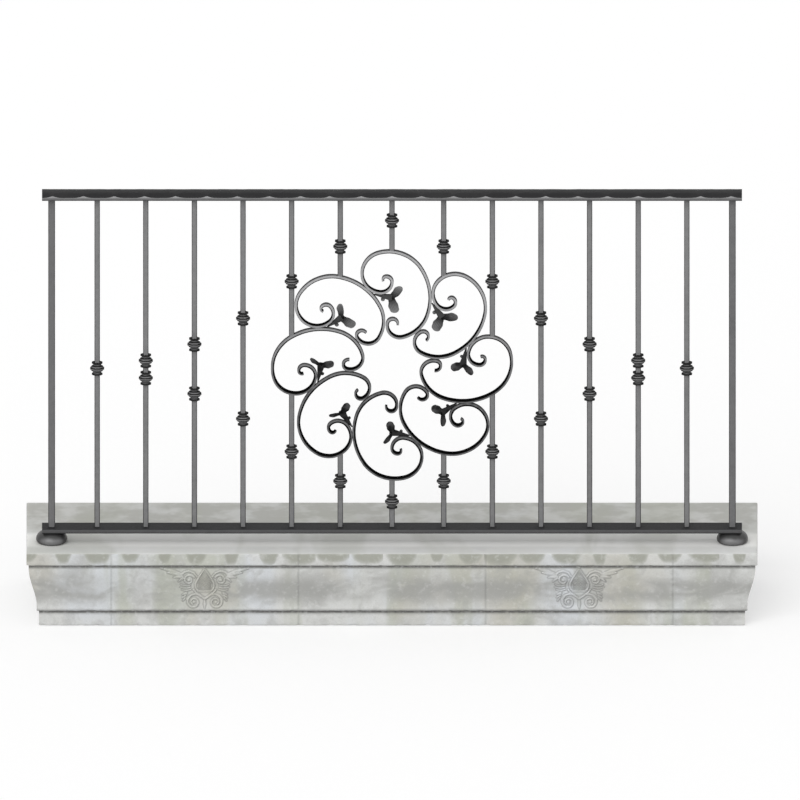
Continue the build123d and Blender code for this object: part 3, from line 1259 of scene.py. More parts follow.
@dataclass(frozen=True)
class ScrollPath:
    """Centreline of one scroll: a chain of tangent arcs, from the tip of its large curl."""

    tip: tuple[float, float] = (-25.4, 254.4)
    heading: float = 117.5
    radii: tuple[float, ...] = (9.0, 16.7, 32.3, 57.2, 66.0, 109.6, 168.3, 100.3, 36.2, 15.0)
    sweeps: tuple[float, ...] = (111.5, 97.4, 95.1, 81.5, 76.5, 71.9, 52.2, 57.0, 118.7, 175.6)
    width: float = 9.0

    def arcs(self, reach: float = 0.0) -> list[Arc]:
        """The arcs, with the scroll standing out from the wreath's middle by a reach."""
        x, z = self.tip[0], self.tip[1] + reach
        heading = math.radians(self.heading)
        chain = []
        for radius, sweep in zip(self.radii, self.sweeps):
            turn = math.radians(sweep)
            centre = (x + radius * math.sin(heading), z - radius * math.cos(heading))
            arc = Arc(centre, radius, heading + math.pi / 2, turn)
            chain.append(arc)
            heading -= turn
            x, z = arc.point(1.0)
        return chain

    def top(self) -> float:
        """Height of the highest point of the bar at no reach."""
        shares = [i / 60 for i in range(61)]
        return max(arc.point(s, self.width / 2)[1] for arc in self.arcs() for s in shares)

    def curve(self, name: str, reach: float) -> bpy.types.Object:
        """The centreline as a smooth curve in the XY plane, in metres.

        Args:
            name: Name of the curve.
            reach: How far the scroll stands out.

        Returns:
            The curve object.
        """
        knots: list[tuple[Vector, Vector, Vector]] = []
        arcs = self.arcs(reach)
        before = Vector()
        for arc in arcs:
            pieces = max(1, math.ceil(arc.turn / (math.pi / 3)))
            for i in range(pieces):
                spot = Vector((*arc.point(i / pieces), 0.0))
                knots.append((spot, before, arc.handle(i / pieces, pieces)))
                before = arc.handle((i + 1) / pieces, pieces)
        knots.append((Vector((*arcs[-1].point(1.0), 0.0)), before, Vector()))
        data = bpy.data.curves.new(name, "CURVE")
        spline = data.splines.new("BEZIER")
        spline.bezier_points.add(len(knots) - 1)
        for point, (spot, left, right) in zip(spline.bezier_points, knots):
            point.handle_left_type = point.handle_right_type = "FREE"
            point.co = spot * MM
            point.handle_left = (spot - left) * MM
            point.handle_right = (spot + right) * MM
        made = bpy.data.objects.new(name, data)
        bpy.context.collection.objects.link(made)
        return made


@dataclass
class WreathPlace:
    """Where the wreath stands, read from the CAD model."""

    path: ScrollPath
    middle: Vector = field(init=False)
    reach: float = field(init=False)

    def __post_init__(self) -> None:
        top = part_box("scroll_1")
        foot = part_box("scroll_5")
        height = (top[1].z + foot[0].z) / 2
        self.middle = Vector((0.0, (top[0].y + top[1].y) / 2, height))
        self.reach = (top[1].z - height) / MM - self.path.top()

    def stand(self, point: Vector, turn: float) -> Vector:
        """Set up a point of the wreath's flat plan, turned anticlockwise about its middle.

        Args:
            point: The point in millimetres, its z towards the viewer.
            turn: Angle of the turn.

        Returns:
            The place in metres.
        """
        x = point.x * math.cos(turn) - point.y * math.sin(turn)
        z = point.x * math.sin(turn) + point.y * math.cos(turn)
        return self.middle + Vector((x, -point.z, z)) * MM


@dataclass
class Scrolls:
    """Forged C-scrolls, each a flat bar drawn out to a thin hooked tip at both ends."""

    material: bpy.types.Material
    place: WreathPlace
    count: int = 8
    width: float = 9.6 * MM
    depth: float = 16.4 * MM
    corner: float = 1.5 * MM
    spacing: float = 2.4 * MM
    first_taper: float = 0.04
    last_taper: float = 0.045
    tip_share: float = 0.72

    def build(self) -> None:
        """Make the scrolls, from the top one anticlockwise."""
        rule = self._rule()
        path = self.place.path.curve("scroll_centreline", self.place.reach)
        for step in range(self.count):
            values = {
                "Path": path,
                "Spacing": self.spacing,
                "Turn": 2 * math.pi * step / self.count,
                "Seed": float(step),
                "Material": self.material,
            }
            host = bpy.data.meshes.new(f"scroll_host_{step + 1}")
            scroll = rule.shape(f"forged_scroll_{step + 1}", host, values, 42.0)
            fit_on(scroll, IRON_SLOT, f"scroll_{step + 1}")
        bpy.data.objects.remove(path)

    def _rule(self) -> GeometryRule:
        """The rule that sweeps the bar along the path, draws its tips out and stands it up."""
        rule = GeometryRule("bar_along_path", {
            "Path": "Object", "Spacing": "Float", "Turn": "Float", "Seed": "Float",
            "Material": "Material",
        })
        path = rule.node("GeometryNodeObjectInfo", None, {"Object": rule.given("Path")})
        even = rule.node(
            "GeometryNodeResampleCurve",
            {"mode": "LENGTH"},
            {"Curve": path.outputs["Geometry"], "Length": rule.given("Spacing")},
        )
        level = rule.node("GeometryNodeSetCurveNormal", {"mode": "Z_UP"}, {0: even.outputs[0]})
        along = Channel(rule, rule.node("GeometryNodeSplineParameter").outputs["Factor"])
        first = along.ramp(0.0, self.first_taper, self.tip_share, 1.0)
        last = along.ramp(1.0 - self.last_taper, 1.0, 1.0, self.tip_share)
        drawn = rule.node("GeometryNodeCaptureAttribute", {"domain": "POINT"})
        for kind, label in (("FLOAT", "share"), ("VECTOR", "centre"), ("VECTOR", "side")):
            drawn.capture_items.new(kind, label)
        links = {
            "Geometry": level.outputs[0],
            "share": (first * last).socket,
            "centre": rule.node("GeometryNodeInputPosition").outputs[0],
            "side": rule.node("GeometryNodeInputNormal").outputs[0],
        }
        for label, source in links.items():
            rule.tree.links.new(source, drawn.inputs[label])
        swept = rule.node(
            "GeometryNodeCurveToMesh",
            None,
            {
                "Curve": drawn.outputs["Geometry"],
                "Profile Curve": self._section(rule),
                "Fill Caps": True,
            },
        )
        thinned = self._draw_out(rule, swept.outputs[0], drawn)
        turned = rule.node(
            "GeometryNodeTransform",
            None,
            {
                "Geometry": thinned,
                "Rotation": rule.node(
                    "ShaderNodeCombineXYZ", None, {"Z": rule.given("Turn")}
                ).outputs[0],
            },
        )
        stood = rule.node(
            "GeometryNodeTransform",
            None,
            {
                "Geometry": turned.outputs[0],
                "Rotation": (math.pi / 2, 0.0, 0.0),
                "Translation": tuple(self.place.middle),
            },
        )
        rule.close(stood.outputs[0])
        return rule

    def _section(self, rule: GeometryRule) -> bpy.types.NodeSocket:
        """The bar's section with rounded corners."""
        flat = rule.node(
            "GeometryNodeCurvePrimitiveQuadrilateral",
            None,
            {"Width": self.width, "Height": self.depth},
        )
        rounded = rule.node(
            "GeometryNodeFilletCurve",
            {"mode": "POLY"},
            {"Curve": flat.outputs[0], "Radius": self.corner, "Count": 3},
        )
        return rounded.outputs[0]

    def _draw_out(
        self, rule: GeometryRule, geometry: bpy.types.NodeSocket, drawn: bpy.types.Node
    ) -> bpy.types.NodeSocket:
        """Thin the bar across its width towards its tips, and leave the hammer's small flats.

        Args:
            rule: The rule that is being built.
            geometry: The swept bar.
            drawn: Node that remembers each ring's centre, side and share.

        Returns:
            The thinned bar.
        """
        here = rule.node("GeometryNodeInputPosition").outputs[0]
        arm = rule.vector_math("SUBTRACT", here, drawn.outputs["centre"])
        reach = Channel(rule, rule.vector_math("DOT_PRODUCT", arm, drawn.outputs["side"]))
        grain = rule.node(
            "ShaderNodeTexNoise",
            {"noise_dimensions": "4D"},
            {"Vector": here, "W": rule.given("Seed"), "Scale": 42.0, "Detail": 1.0},
        )
        thinner = reach * (Channel(rule, drawn.outputs["share"]) - 1.0)
        uneven = thinner + (Channel(rule, grain.outputs[0]) - 0.5) * (0.9 * MM)
        offset = rule.vector_math("SCALE", drawn.outputs["side"])
        rule.tree.links.new(uneven.socket, offset.node.inputs["Scale"])
        # Share across the bar's width, with which the material paints shade on the scroll's inner
        # side.
        marked = rule.node(
            "GeometryNodeStoreNamedAttribute",
            {"data_type": "FLOAT", "domain": "POINT"},
            {
                "Geometry": geometry,
                "Name": "inside",
                "Value": reach / self.width + 0.5,
            },
        )
        moved = rule.node(
            "GeometryNodeSetPosition", None, {"Geometry": marked.outputs[0], "Offset": offset}
        )
        return moved.outputs[0]


@dataclass(frozen=True)
class Lobe:
    """One lobe of a leaf, in millimetres and degrees."""

    length: float
    width: float
    neck: float
    angle: float
    roll: float
    lift: float
    waves: float = 2.0
    wave_depth: float = 0.06

    def scaled(self, size: float) -> Lobe:
        """The same lobe, larger or smaller."""
        return replace(
            self, length=size * self.length, width=size * self.width, neck=size * self.neck
        )

    def half_width(self, share: float) -> float:
        """Half of the lobe's width, a share of the way to its tip."""
        swell = min(1.0, share / 0.68)
        body = blend(self.neck / 2, self.width / 2, math.sin(math.pi / 2 * swell))
        past = max(0.0, (share - 0.6) / 0.4)
        wave = 1 + self.wave_depth * math.sin(2 * math.pi * (self.waves * share + 0.1))
        return max(0.2, body * wave * math.sqrt(max(0.0, 1 - past ** 2.4)))


@dataclass
class Leaves:
    """Beaten leaves: a calyx under the large curl that carries two veined lobes and a bud."""

    material: bpy.types.Material
    place: WreathPlace
    count: int = 8
    thickness: float = 2.4
    cup: float = 26.0
    columns: int = 14
    rows: int = 30
    calyx_root: float = 4.0
    calyx_width: float = 22.0
    calyx_thickness: float = 7.0
    calyx_length: float = 49.0
    calyx_overhang: float = 18.0
    seat_share: float = 0.93
    seat_gap: float = 0.25
    bud_share: float = 0.52
    upper: Lobe = Lobe(52.0, 27.0, 15.0, 49.0, -42.0, -25.0, 2.0, 0.05)
    lower: Lobe = Lobe(47.0, 31.0, 17.0, -73.0, 15.0, -15.0, 2.4, 0.05)
    bud: Lobe = Lobe(16.0, 12.0, 8.0, -98.0, 0.0, -10.0, 1.0, 0.0)
    sizes: tuple[float, ...] = (1.0, 1.0, 0.84, 0.8, 0.8, 0.8, 0.8, 0.98)
    veins: float = 3.5
    vein_depth: float = 0.7

    def build(self) -> None:
        """Make the leaves, from the top one anticlockwise."""
        curl = self.place.path.arcs(self.place.reach)[2]
        seat = curl.point(self.seat_share, self.place.path.width / 2 + self.seat_gap)
        root, body = self.calyx_root / 2, self.calyx_width / 2
        slope = -math.asin((body - root) / self.calyx_length)
        start = Vector((seat[0] - self.calyx_overhang, seat[1] - root, 0.0))
        lean = Matrix.Translation(start) @ Matrix.Rotation(slope, 4, "Z")
        heart = lean @ Vector((self.calyx_length, 0.0, 0.0))
        bud_heart = lean @ Vector((self.bud_share * self.calyx_length, 0.0, 0.0))
        for step in range(self.count):
            skin = Skin()
            turn = 2 * math.pi * step / self.count
            self._lay(skin, [[lean @ p for p in ring] for ring in self._calyx()], turn)
            # Painted shade: the calyx darkened all over; the lobes are darkened between their veins
            # and towards their roots.
            grooves = [0.75] * len(skin.points)
            for full, origin in ((self.upper, heart), (self.lower, heart), (self.bud, bud_heart)):
                lobe = full.scaled(self.sizes[step % len(self.sizes)])
                sway = noise.noise(Vector((step * 3.1, lobe.angle, 0.5))) * 3.0
                self._lay(skin, self._lobe(lobe, origin, sway), turn)
                grooves += self._painted_shades()
            leaf = skin.piece(f"beaten_leaf_{step + 1}", 50.0)
            layer = leaf.data.attributes.new("groove", "FLOAT", "POINT")
            layer.data.foreach_set("value", numpy.array(grooves, dtype=numpy.float32))
            dress(leaf, self.material)
            fit_on(leaf, IRON_SLOT, f"leaf_{step + 1}")

    def _lay(self, skin: Skin, rings: list[list[Vector]], turn: float) -> None:
        """Stand rings up in the wreath and skin them."""
        skin.loft([[self.place.stand(point, turn) for point in ring] for ring in rings])

    def _calyx(self) -> list[list[Vector]]:
        """Rings of the calyx, from its root to the rounded heart of the leaf."""
        rings = []
        total = self.calyx_length + self.calyx_width / 2
        for share in evenly(0.0, 1.0, 1 / self.rows):
            x = share * total - 1.5
            grown = min(1.0, max(0.0, x) / self.calyx_length)
            half = blend(self.calyx_root / 2, self.calyx_width / 2, grown)
            deep = self.calyx_thickness / 2 * blend(0.75, 1.0, grown)
            past = max(0.0, (x - self.calyx_length) / (self.calyx_width / 2))
            close = math.sqrt(max(0.003, 1 - past ** 2))
            ring = []
            for i in range(20):
                angle = 2 * math.pi * i / 20
                flute = 1 + 0.07 * math.cos(6 * angle)
                ring.append(Vector((
                    x, half * close * math.cos(angle), deep * close * flute * math.sin(angle)
                )))
            rings.append(ring)
        return rings

    def _lobe(self, lobe: Lobe, origin: Vector, sway: float) -> list[list[Vector]]:
        """Rings of a lobe.

        Args:
            lobe: Its sizes.
            origin: Where it leaves the calyx.
            sway: A small turn that makes each leaf a little different.

        Returns:
            Closed rings from the lobe's root to its tip.
        """
        aim = (
            Matrix.Translation(origin)
            @ Matrix.Rotation(math.radians(lobe.angle + sway), 4, "Z")
            @ Matrix.Rotation(math.radians(lobe.lift), 4, "Y")
            @ Matrix.Rotation(math.radians(lobe.roll), 4, "X")
        )
        rings = []
        for share in evenly(0.0, 1.0, 1 / self.rows):
            half = lobe.half_width(share)
            x = share * lobe.length
            upper, lower = [], []
            for i in range(-self.columns, self.columns + 1):
                t = i / self.columns
                z = self._relief(lobe, t * half, share)
                thick = self.thickness / 2 * (1 - 0.6 * t * t)
                upper.append(aim @ Vector((x, t * half, z + thick)))
                lower.append(aim @ Vector((x, t * half, z - thick)))
            rings.append(upper + lower[-2:0:-1])
        return rings

    def _painted_shades(self) -> list[float]:
        """Painted shade at each point of a lobe: between the veins, and towards its root."""
        shades = []
        for share in evenly(0.0, 1.0, 1 / self.rows):
            across = [i / self.columns for i in range(-self.columns, self.columns + 1)]
            row = [
                min(1.0, 0.9 * (1 - share) ** 1.5 + 0.55 * self._valley(t) * (1 - 0.5 * share))
                for t in across
            ]
            shades += row + row[-2:0:-1]
        return shades

    def _valley(self, across: float) -> float:
        """How deep the surface lies between two veins, from 0 to 1, at a share of its half width."""
        return (1 - math.cos(2 * math.pi * self.veins * across)) / 2

    def _relief(self, lobe: Lobe, y: float, share: float) -> float:
        """Height of a lobe's cupped and veined surface.

        Args:
            lobe: Its sizes.
            y: Distance from its midrib.
            share: Share of the way to its tip.

        Returns:
            The height in millimetres.
        """
        cupped = self.cup - math.sqrt(self.cup ** 2 - y * y)
        half = lobe.half_width(share)
        veins = -self.vein_depth * self._valley(y / half) * math.sin(math.pi * share)
        return cupped + veins - 3.0 * share * share


# Ledge

@dataclass(frozen=True)
class Stroke:
    """A raised line of the carving, in millimetres from the ornament's middle and its foot."""

    points: tuple[tuple[float, float], ...]
    width: tuple[float, float]
    height: float

    def mirrored(self) -> "Stroke":
        """The same line on the other side of the middle."""
        return Stroke(tuple((-u, v) for u, v in self.points), self.width, self.height)

    def samples(self, gap: float = 0.8) -> list[tuple[float, float, float]]:
        """Points along the line with half of its width at each."""
        pairs = list(zip(self.points, self.points[1:]))
        lengths = [math.dist(a, b) for a, b in pairs]
        total = sum(lengths)
        gone = 0.0
        found = []
        for (a, b), length in zip(pairs, lengths):
            for share in evenly(0.0, 1.0, gap / max(length, gap)):
                along = (gone + share * length) / total
                u, v = blend(a[0], b[0], share), blend(a[1], b[1], share)
                found.append((u, v, blend(*self.width, along) / 2))
            gone += length
        return found


def spiral(
    centre: tuple[float, float], radii: tuple[float, float], start: float, turn: float
) -> tuple[tuple[float, float], ...]:
    """Points of a spiral that winds clockwise and closes in.

    Args:
        centre: Its middle.
        radii: Radius at its start and at its end.
        start: Angle of its start in degrees.
        turn: Degrees that it turns.

    Returns:
        The points.
    """
    count = math.ceil(turn / 10)
    points = []
    for i in range(count + 1):
        share = i / count
        radius = radii[0] * (radii[1] / radii[0]) ** share
        angle = math.radians(start - turn * share)
        points.append((centre[0] + radius * math.cos(angle), centre[1] + radius * math.sin(angle)))
    return tuple(points)


@dataclass
class Carving:
    """Low relief of a bud between volutes, with a spray of leaves on each side."""

    half_span: float = 140.0
    spread: float = 0.93
    bud_foot: float = 113.0
    bud_head: float = 182.0
    bud_half: float = 25.0
    lattice: float = 9.0
    shadow: float = 3.4
    wear: float = 0.75

    def strokes(self) -> list[Stroke]:
        """All raised lines, left and right."""
        right = [
            Stroke(((0, 185), (6, 175), (14, 163), (23, 149), (28.5, 137)), (4.5, 6.5), 5.0),
            Stroke(((28.5, 137), (29, 127), (26, 118), (20, 112)), (6.5, 5.5), 4.6),
            Stroke(((34, 116), (27, 105), (14, 95), (0, 85)), (6.0, 7.0), 4.4),
            Stroke(((24, 158), (34, 171), (50, 177), (64, 173), (74, 164)), (5.0, 7.0), 4.2),
            Stroke(spiral((49, 148), (18.5, 7.0), 150, 420), (6.5, 5.0), 4.4),
            Stroke(((48.5, 148), (49.5, 148)), (11, 11), 4.6),
            Stroke(((16, 98), (30, 101), (45, 96), (55, 84)), (6.0, 6.5), 3.8),
            Stroke(spiral((34, 75), (21.5, 8.0), 60, 480), (7.0, 5.0), 4.2),
            Stroke(((33.5, 75), (34.5, 75)), (9, 9), 4.2),
            Stroke(((46, 131), (56, 128), (66, 129), (75, 133)), (4.2, 3.0), 3.2),
            Stroke(((45, 123.5), (56, 120.5), (66, 121), (76, 124)), (4.2, 3.0), 3.2),
            Stroke(((44, 116), (54, 112.5), (63, 113), (71, 115)), (4.2, 3.0), 3.0),
            Stroke(((58, 104), (69, 99)), (8.0, 4.0), 3.2),
            Stroke(((60, 96), (70, 89)), (7.0, 4.0), 3.0),
            Stroke(((61, 88), (68, 79)), (6.0, 3.5), 2.6),
        ]
        for base, tip, width in self._spray():
            middle = (blend(base[0], tip[0], 0.45), blend(base[1], tip[1], 0.45) + 1.5)
            right.append(Stroke((base, middle), (5.0, width), 4.4))
            right.append(Stroke((middle, tip), (width, 2.4), 4.2))
        middle = [
            Stroke(((-21, 111), (21, 111)), (5.0, 5.0), 4.0),
            Stroke(((0, 82), (0, 68)), (4.0, 9.0), 3.4),
            Stroke(((0, 68), (0, 56)), (9.0, 3.0), 3.2),
        ]
        return right + [stroke.mirrored() for stroke in right] + middle

    def grooves(self) -> list[Stroke]:
        """Veins cut into the leaves of the spray, left and right."""
        right = [Stroke((base, tip), (2.2, 1.2), 1.6) for base, tip, _ in self._spray()]
        return right + [stroke.mirrored() for stroke in right]

    @staticmethod
    def _spray() -> tuple[tuple[tuple[float, float], tuple[float, float], float], ...]:
        """Base, tip and width of each leaf of the spray on the right."""
        return (
            ((70.0, 166.0), (137.0, 185.0), 12.0),
            ((70.0, 162.0), (116.0, 171.0), 11.0),
            ((68.0, 158.0), (97.0, 156.0), 10.0),
            ((66.0, 154.0), (82.0, 142.0), 8.0),
        )

    def heights(self, u: numpy.ndarray, v: numpy.ndarray) -> numpy.ndarray:
        """Height of the relief at many places.

        Args:
            u: Distances from the middle in millimetres.
            v: Heights in millimetres.

        Returns:
            The relief's height at each place, in millimetres.
        """
        relief = self._bud(u, v)
        for stroke in self.strokes():
            relief = numpy.maximum(relief, self._bulge(stroke, u, v))
        for groove in self.grooves():
            relief = relief - self._bulge(groove, u, v)
        return relief * self.wear

    def _bud(self, u: numpy.ndarray, v: numpy.ndarray) -> numpy.ndarray:
        """The domed bud in the middle, cut with a diamond lattice."""
        up = numpy.clip((v - self.bud_foot) / (self.bud_head - self.bud_foot), 0.0, 1.0)
        half = self.bud_half * numpy.sin(numpy.pi * (1 - up) ** 1.25) ** 0.55 * (1.0 - 0.25 * up)
        half = numpy.where(up < 0.22, numpy.maximum(half, self.bud_half * 0.86), half)
        inside = (numpy.abs(u) < half) & (up > 0.0) & (up < 1.0)
        across = numpy.clip(numpy.abs(u) / numpy.maximum(half, 0.1), 0.0, 1.0)
        turns = numpy.pi / self.lattice
        diamonds = numpy.abs(numpy.sin(turns * (u + v)) * numpy.sin(turns * (u - v)))
        dome = 2.2 * (1 - across ** 2) + 1.3 * diamonds ** 0.7
        return numpy.where(inside, dome, 0.0)

    @staticmethod
    def _bulge(stroke: Stroke, u: numpy.ndarray, v: numpy.ndarray) -> numpy.ndarray:
        """Height of one half-round line at many places."""
        height = numpy.zeros_like(u)
        for su, sv, half in stroke.samples():
            near = (numpy.abs(u - su) < half) & (numpy.abs(v - sv) < half)
            gap = ((u[near] - su) ** 2 + (v[near] - sv) ** 2) / half ** 2
            bulge = stroke.height * numpy.sqrt(numpy.clip(1 - gap, 0.0, 1.0))
            height[near] = numpy.maximum(height[near], bulge)
        return height

    def soot_and_shade(self, u: numpy.ndarray, v: numpy.ndarray, relief: numpy.ndarray) -> numpy.ndarray:
        """How much grime and painted shade lie at many places: beside raised lines and between the
        diamonds.

        Args:
            u: Distances from the middle in millimetres.
            v: Heights in millimetres.
            relief: Height of the relief there.

        Returns:
            The share of grime and painted shade, from 0 to 1.
        """
        near = numpy.zeros_like(u)
        for stroke in self.strokes():
            wider = Stroke(
                stroke.points, tuple(w + 2 * self.shadow for w in stroke.width), 1.0
            )
            near = numpy.maximum(near, self._bulge(wider, u, v))
        low = numpy.clip(1 - relief / 2.4, 0.0, 1.0)
        lattice = numpy.where(self._bud(u, v) > 0, numpy.clip(1.25 - relief / 4.0, 0.0, 1.0), 0.0)
        return numpy.maximum(near * low, lattice)


@dataclass
class Moulding:
    """A profile from the foot up, as insets from the ledge's edge and heights, in metres."""

    insets: list[float] = field(default_factory=list)
    heights: list[float] = field(default_factory=list)
    corners: set[int] = field(default_factory=set)
    nooks: set[int] = field(default_factory=set)

    def add(self, inset: float, height: float) -> None:
        """Add a point."""
        self.insets.append(inset)
        self.heights.append(height)

    def corner(self) -> None:
        """Say that the last point lies on an arris, where the stone wears."""
        self.corners.add(len(self.insets) - 1)

    def nook(self) -> None:
        """Say that the last point lies under an overhang, where grime and painted shade go."""
        self.nooks.add(len(self.insets) - 1)

    def run(self, points: Sequence[tuple[float, float]], step: float) -> None:
        """Add a run of straight stretches with points no further apart than a step."""
        for (a, b), (c, d) in zip(points, points[1:]):
            for share in evenly(0.0, 1.0, step / math.dist((a, b), (c, d)))[1:]:
                self.add(blend(a, c, share), blend(b, d, share))

    def wear(self) -> list[float]:
        """How strongly each point wears, from 1 on an arris to 0 at a distance from it."""
        return self._nearness(self.corners, 5 * MM)

    def soot_and_shade(self) -> list[float]:
        """How much grime and painted shade lie at each point, from 1 under an overhang to 0 away from
        it.
        """
        return self._nearness(self.nooks, 11 * MM)

    def _nearness(self, chosen: set[int], reach: float) -> list[float]:
        """How near each point is to the chosen ones, from 1 on one to 0 at a reach from it."""
        spots = list(zip(self.insets, self.heights))
        marks = [spots[i] for i in chosen]
        near = [max([0.0, *(1 - math.dist(spot, mark) / reach for mark in marks)]) for spot in spots]
        return [min(1.0, 1.8 * share) for share in near]

    def normals(self) -> list[tuple[float, float]]:
        """Outward direction at each point, as its share outwards and its share upwards."""
        found = []
        last = len(self.insets) - 1
        for i in range(last + 1):
            a, b = max(0, i - 1), min(last, i + 1)
            across, up = self.insets[b] - self.insets[a], self.heights[b] - self.heights[a]
            length = math.hypot(across, up) or 1.0
            found.append((up / length, across / length))
        return found


class Course(Enum):
    """The two courses of the ledge, by the first part of their nodes' names."""

    COPING = "coping_slab"
    CORNICE = "cornice_block"


@dataclass
class StoneLedge:
    """Blocks of the coping and of the moulded course, worn along their arrises."""

    material: bpy.types.Material
    blocks: int = 5
    carved: tuple[int, ...] = (2, 4)
    shoulder_inset: float = 6.2 * MM
    throat_inset: float = 30.0 * MM
    lip_inset: float = 29.2 * MM
    fascia_inset: float = 36.2 * MM
    fascia_height: float = 46.0 * MM
    lip_height: float = 5.0 * MM
    throat_level: float = 60.0 * MM
    shoulder_level: float = 185.0 * MM
    half_joint: float = 0.2 * MM
    arris_radius: float = 2.2 * MM
    coarse: float = 5.0 * MM
    fine: float = 1.5 * MM
    dent_size: float = 16.0 * MM
    dent_depth: float = 0.45 * MM
    chip_size: float = 14.0 * MM
    chip_depth: float = 2.6 * MM
    grime_and_shade_name: str = "grime_and_shade"
    carving: Carving = field(default_factory=Carving)

    def build(self) -> None:
        """Make every block of both courses."""
        low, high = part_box("coping_slab_1")
        coping = self._coping_profile(low.z, high.z)
        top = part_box("cornice_block_1")[1].z
        for number in range(1, self.blocks + 1):
            plain = self._cornice_profile(top, self.coarse)
            carved = self._cornice_profile(top, self.fine)
            is_carved = number in self.carved
            self._block(Course.COPING, number, coping, False)
            self._block(Course.CORNICE, number, carved if is_carved else plain, is_carved)

    def _coping_profile(self, low: float, high: float) -> Moulding:
        """Plain upright face with rounded arrises."""
        r = self.arris_radius
        profile = Moulding()
        profile.add(8 * r, low)
        profile.add(r, low)
        profile.run([(r, low), (0.3 * r, low + 0.3 * r)], r)
        profile.corner()
        profile.run([(0.3 * r, low + 0.3 * r), (0.0, low + r), (0.0, high - 1.4 * r)], 2.5 * MM)
        profile.run([(0.0, high - 1.4 * r), (0.4 * r, high - 0.4 * r)], 0.8 * r)
        profile.corner()
        profile.run([(0.4 * r, high - 0.4 * r), (1.4 * r, high)], 0.8 * r)
        profile.add(4 * r, high)
        profile.add(9 * r, high)
        return profile

    def _cornice_profile(self, top: float, step: float) -> Moulding:
        """Fascia, lip, and the long wave of the moulding up to its shoulder.

        Args:
            top: Height of the course's top.
            step: Longest stretch between points on the wave.

        Returns:
            The profile.
        """
        r = self.arris_radius
        foot, lip_top = self.fascia_height, self.fascia_height + self.lip_height
        fascia, lip, throat = self.fascia_inset, self.lip_inset, self.throat_inset
        wave = []
        for height in evenly(self.throat_level, self.shoulder_level, step):
            share = (height - self.throat_level) / (self.shoulder_level - self.throat_level)
            wave.append((blend(throat, self.shoulder_inset, share * share * (3 - 2 * share)), height))
        profile = Moulding()
        profile.add(fascia + 10 * MM, 0.0)
        profile.add(fascia + r, 0.0)
        profile.corner()
        profile.run([(fascia + r, 0.0), (fascia, r), (fascia, foot - 0.2 * MM)], self.coarse)
        profile.nook()
        profile.run([(fascia, foot - 0.2 * MM), (lip + r, foot)], r)
        profile.corner()
        profile.run([(lip + r, foot), (lip, foot + r), (lip, lip_top), *wave], step)
        profile.run([wave[-1], (self.shoulder_inset, top - 0.4 * r)], step)
        profile.nook()
        profile.run([(self.shoulder_inset, top - 0.4 * r), (self.shoulder_inset + r, top)], r)
        profile.add(self.shoulder_inset + 10 * MM, top)
        return profile

    def _block(self, course: Course, number: int, profile: Moulding, carved: bool) -> None:
        """Make one block.

        Args:
            course: Course that it belongs to.
            number: Its number from the left.
            profile: Its profile.
            carved: Whether it bears the carving.
        """
        name = f"{course.value}_{number}"
        low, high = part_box(name)
        ledge_low, ledge_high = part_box(f"{Course.COPING.value}_1")[0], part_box(
            f"{Course.COPING.value}_{self.blocks}")[1]
        ends = (number == 1, number == self.blocks)
        left = ledge_low.x if ends[0] else low.x - self.half_joint
        right = ledge_high.x if ends[1] else high.x + self.half_joint
        shares = self._stations(right - left, carved)
        depths = evenly(0.0, 1.0, self.coarse / (high.y - low.y)) if any(ends) else [0.0, 1.0]
        rings, weights, soot_and_shade = [], [], []
        for inset, height, arris, grime_and_shade, normal in zip(
            profile.insets, profile.heights, profile.wear(), profile.soot_and_shade(), profile.normals()
        ):
            flat_left = left + (inset if ends[0] else 0.0)
            flat_right = right - (inset if ends[1] else 0.0)
            front, back = ledge_low.y + inset, ledge_high.y
            ring, pushes, grimy_and_shaded = [], [], []
            for share in shares:
                ring.append(Vector((blend(flat_left, flat_right, share), front, height)))
                to_left, to_right = share * (right - left), (1 - share) * (right - left)
                edge = min(math.inf if ends[0] else to_left, math.inf if ends[1] else to_right)
                near_joint = max(0.0, 1 - edge / (3 * MM))
                pushes.append((Vector((0.0, -normal[0], normal[1])), max(arris, near_joint)))
                grimy_and_shaded.append(max(grime_and_shade, 0.3 * near_joint))
            for side, x in ((1, flat_right), (-1, flat_left)):
                out = Vector((side * normal[0], 0.0, normal[1])) if ends[(side + 1) // 2] else Vector()
                spots = depths[1:] if side > 0 else depths[:0:-1]
                for share in spots:
                    ring.append(Vector((x, blend(front, back, share), height)))
                    pushes.append((out if 0 < share < 1 else Vector(), arris))
                    grimy_and_shaded.append(grime_and_shade if share < 1 else 0.0)
            rings.append(ring)
            weights.append(pushes)
            soot_and_shade.append(grimy_and_shaded)
        relief = numpy.zeros((len(rings), len(rings[0])))
        if carved:
            relief, carved_soot_and_shade = self._carve(rings, (left + right) / 2)
            # The carving adds grime and painted shade beside its raised lines and in its lattice.
            soot_and_shade = numpy.maximum(numpy.array(soot_and_shade), 0.55 * carved_soot_and_shade)
        for ring, pushes, lifts in list(zip(rings, weights, relief))[1:-1]:
            for i, (point, (push, arris)) in enumerate(zip(ring, pushes)):
                ring[i] = point + push * (lifts[i] + self._wear(point, arris))
        skin = Skin()
        skin.loft(rings)
        block = skin.piece(f"worn_{name}", 42.0)
        grime_and_shade_layer = block.data.attributes.new(self.grime_and_shade_name, "FLOAT", "POINT")
        grime_and_shade_layer.data.foreach_set("value", numpy.array(soot_and_shade, dtype=numpy.float32).ravel())
        dress(block, self.material)
        fit_on(block, STONE_SLOT, name)

    def _stations(self, width: float, carved: bool) -> list[float]:
        """Shares along a block at which its profile is set, closer together under the carving."""
        if not carved:
            return evenly(0.0, 1.0, self.coarse / width)
        half = self.carving.half_span * MM
        middle = width / 2
        spots = evenly(0.0, middle - half, self.coarse)[:-1]
        spots += evenly(middle - half, middle + half, self.fine)
        spots += evenly(middle + half, width, self.coarse)[1:]
        return [spot / width for spot in spots]

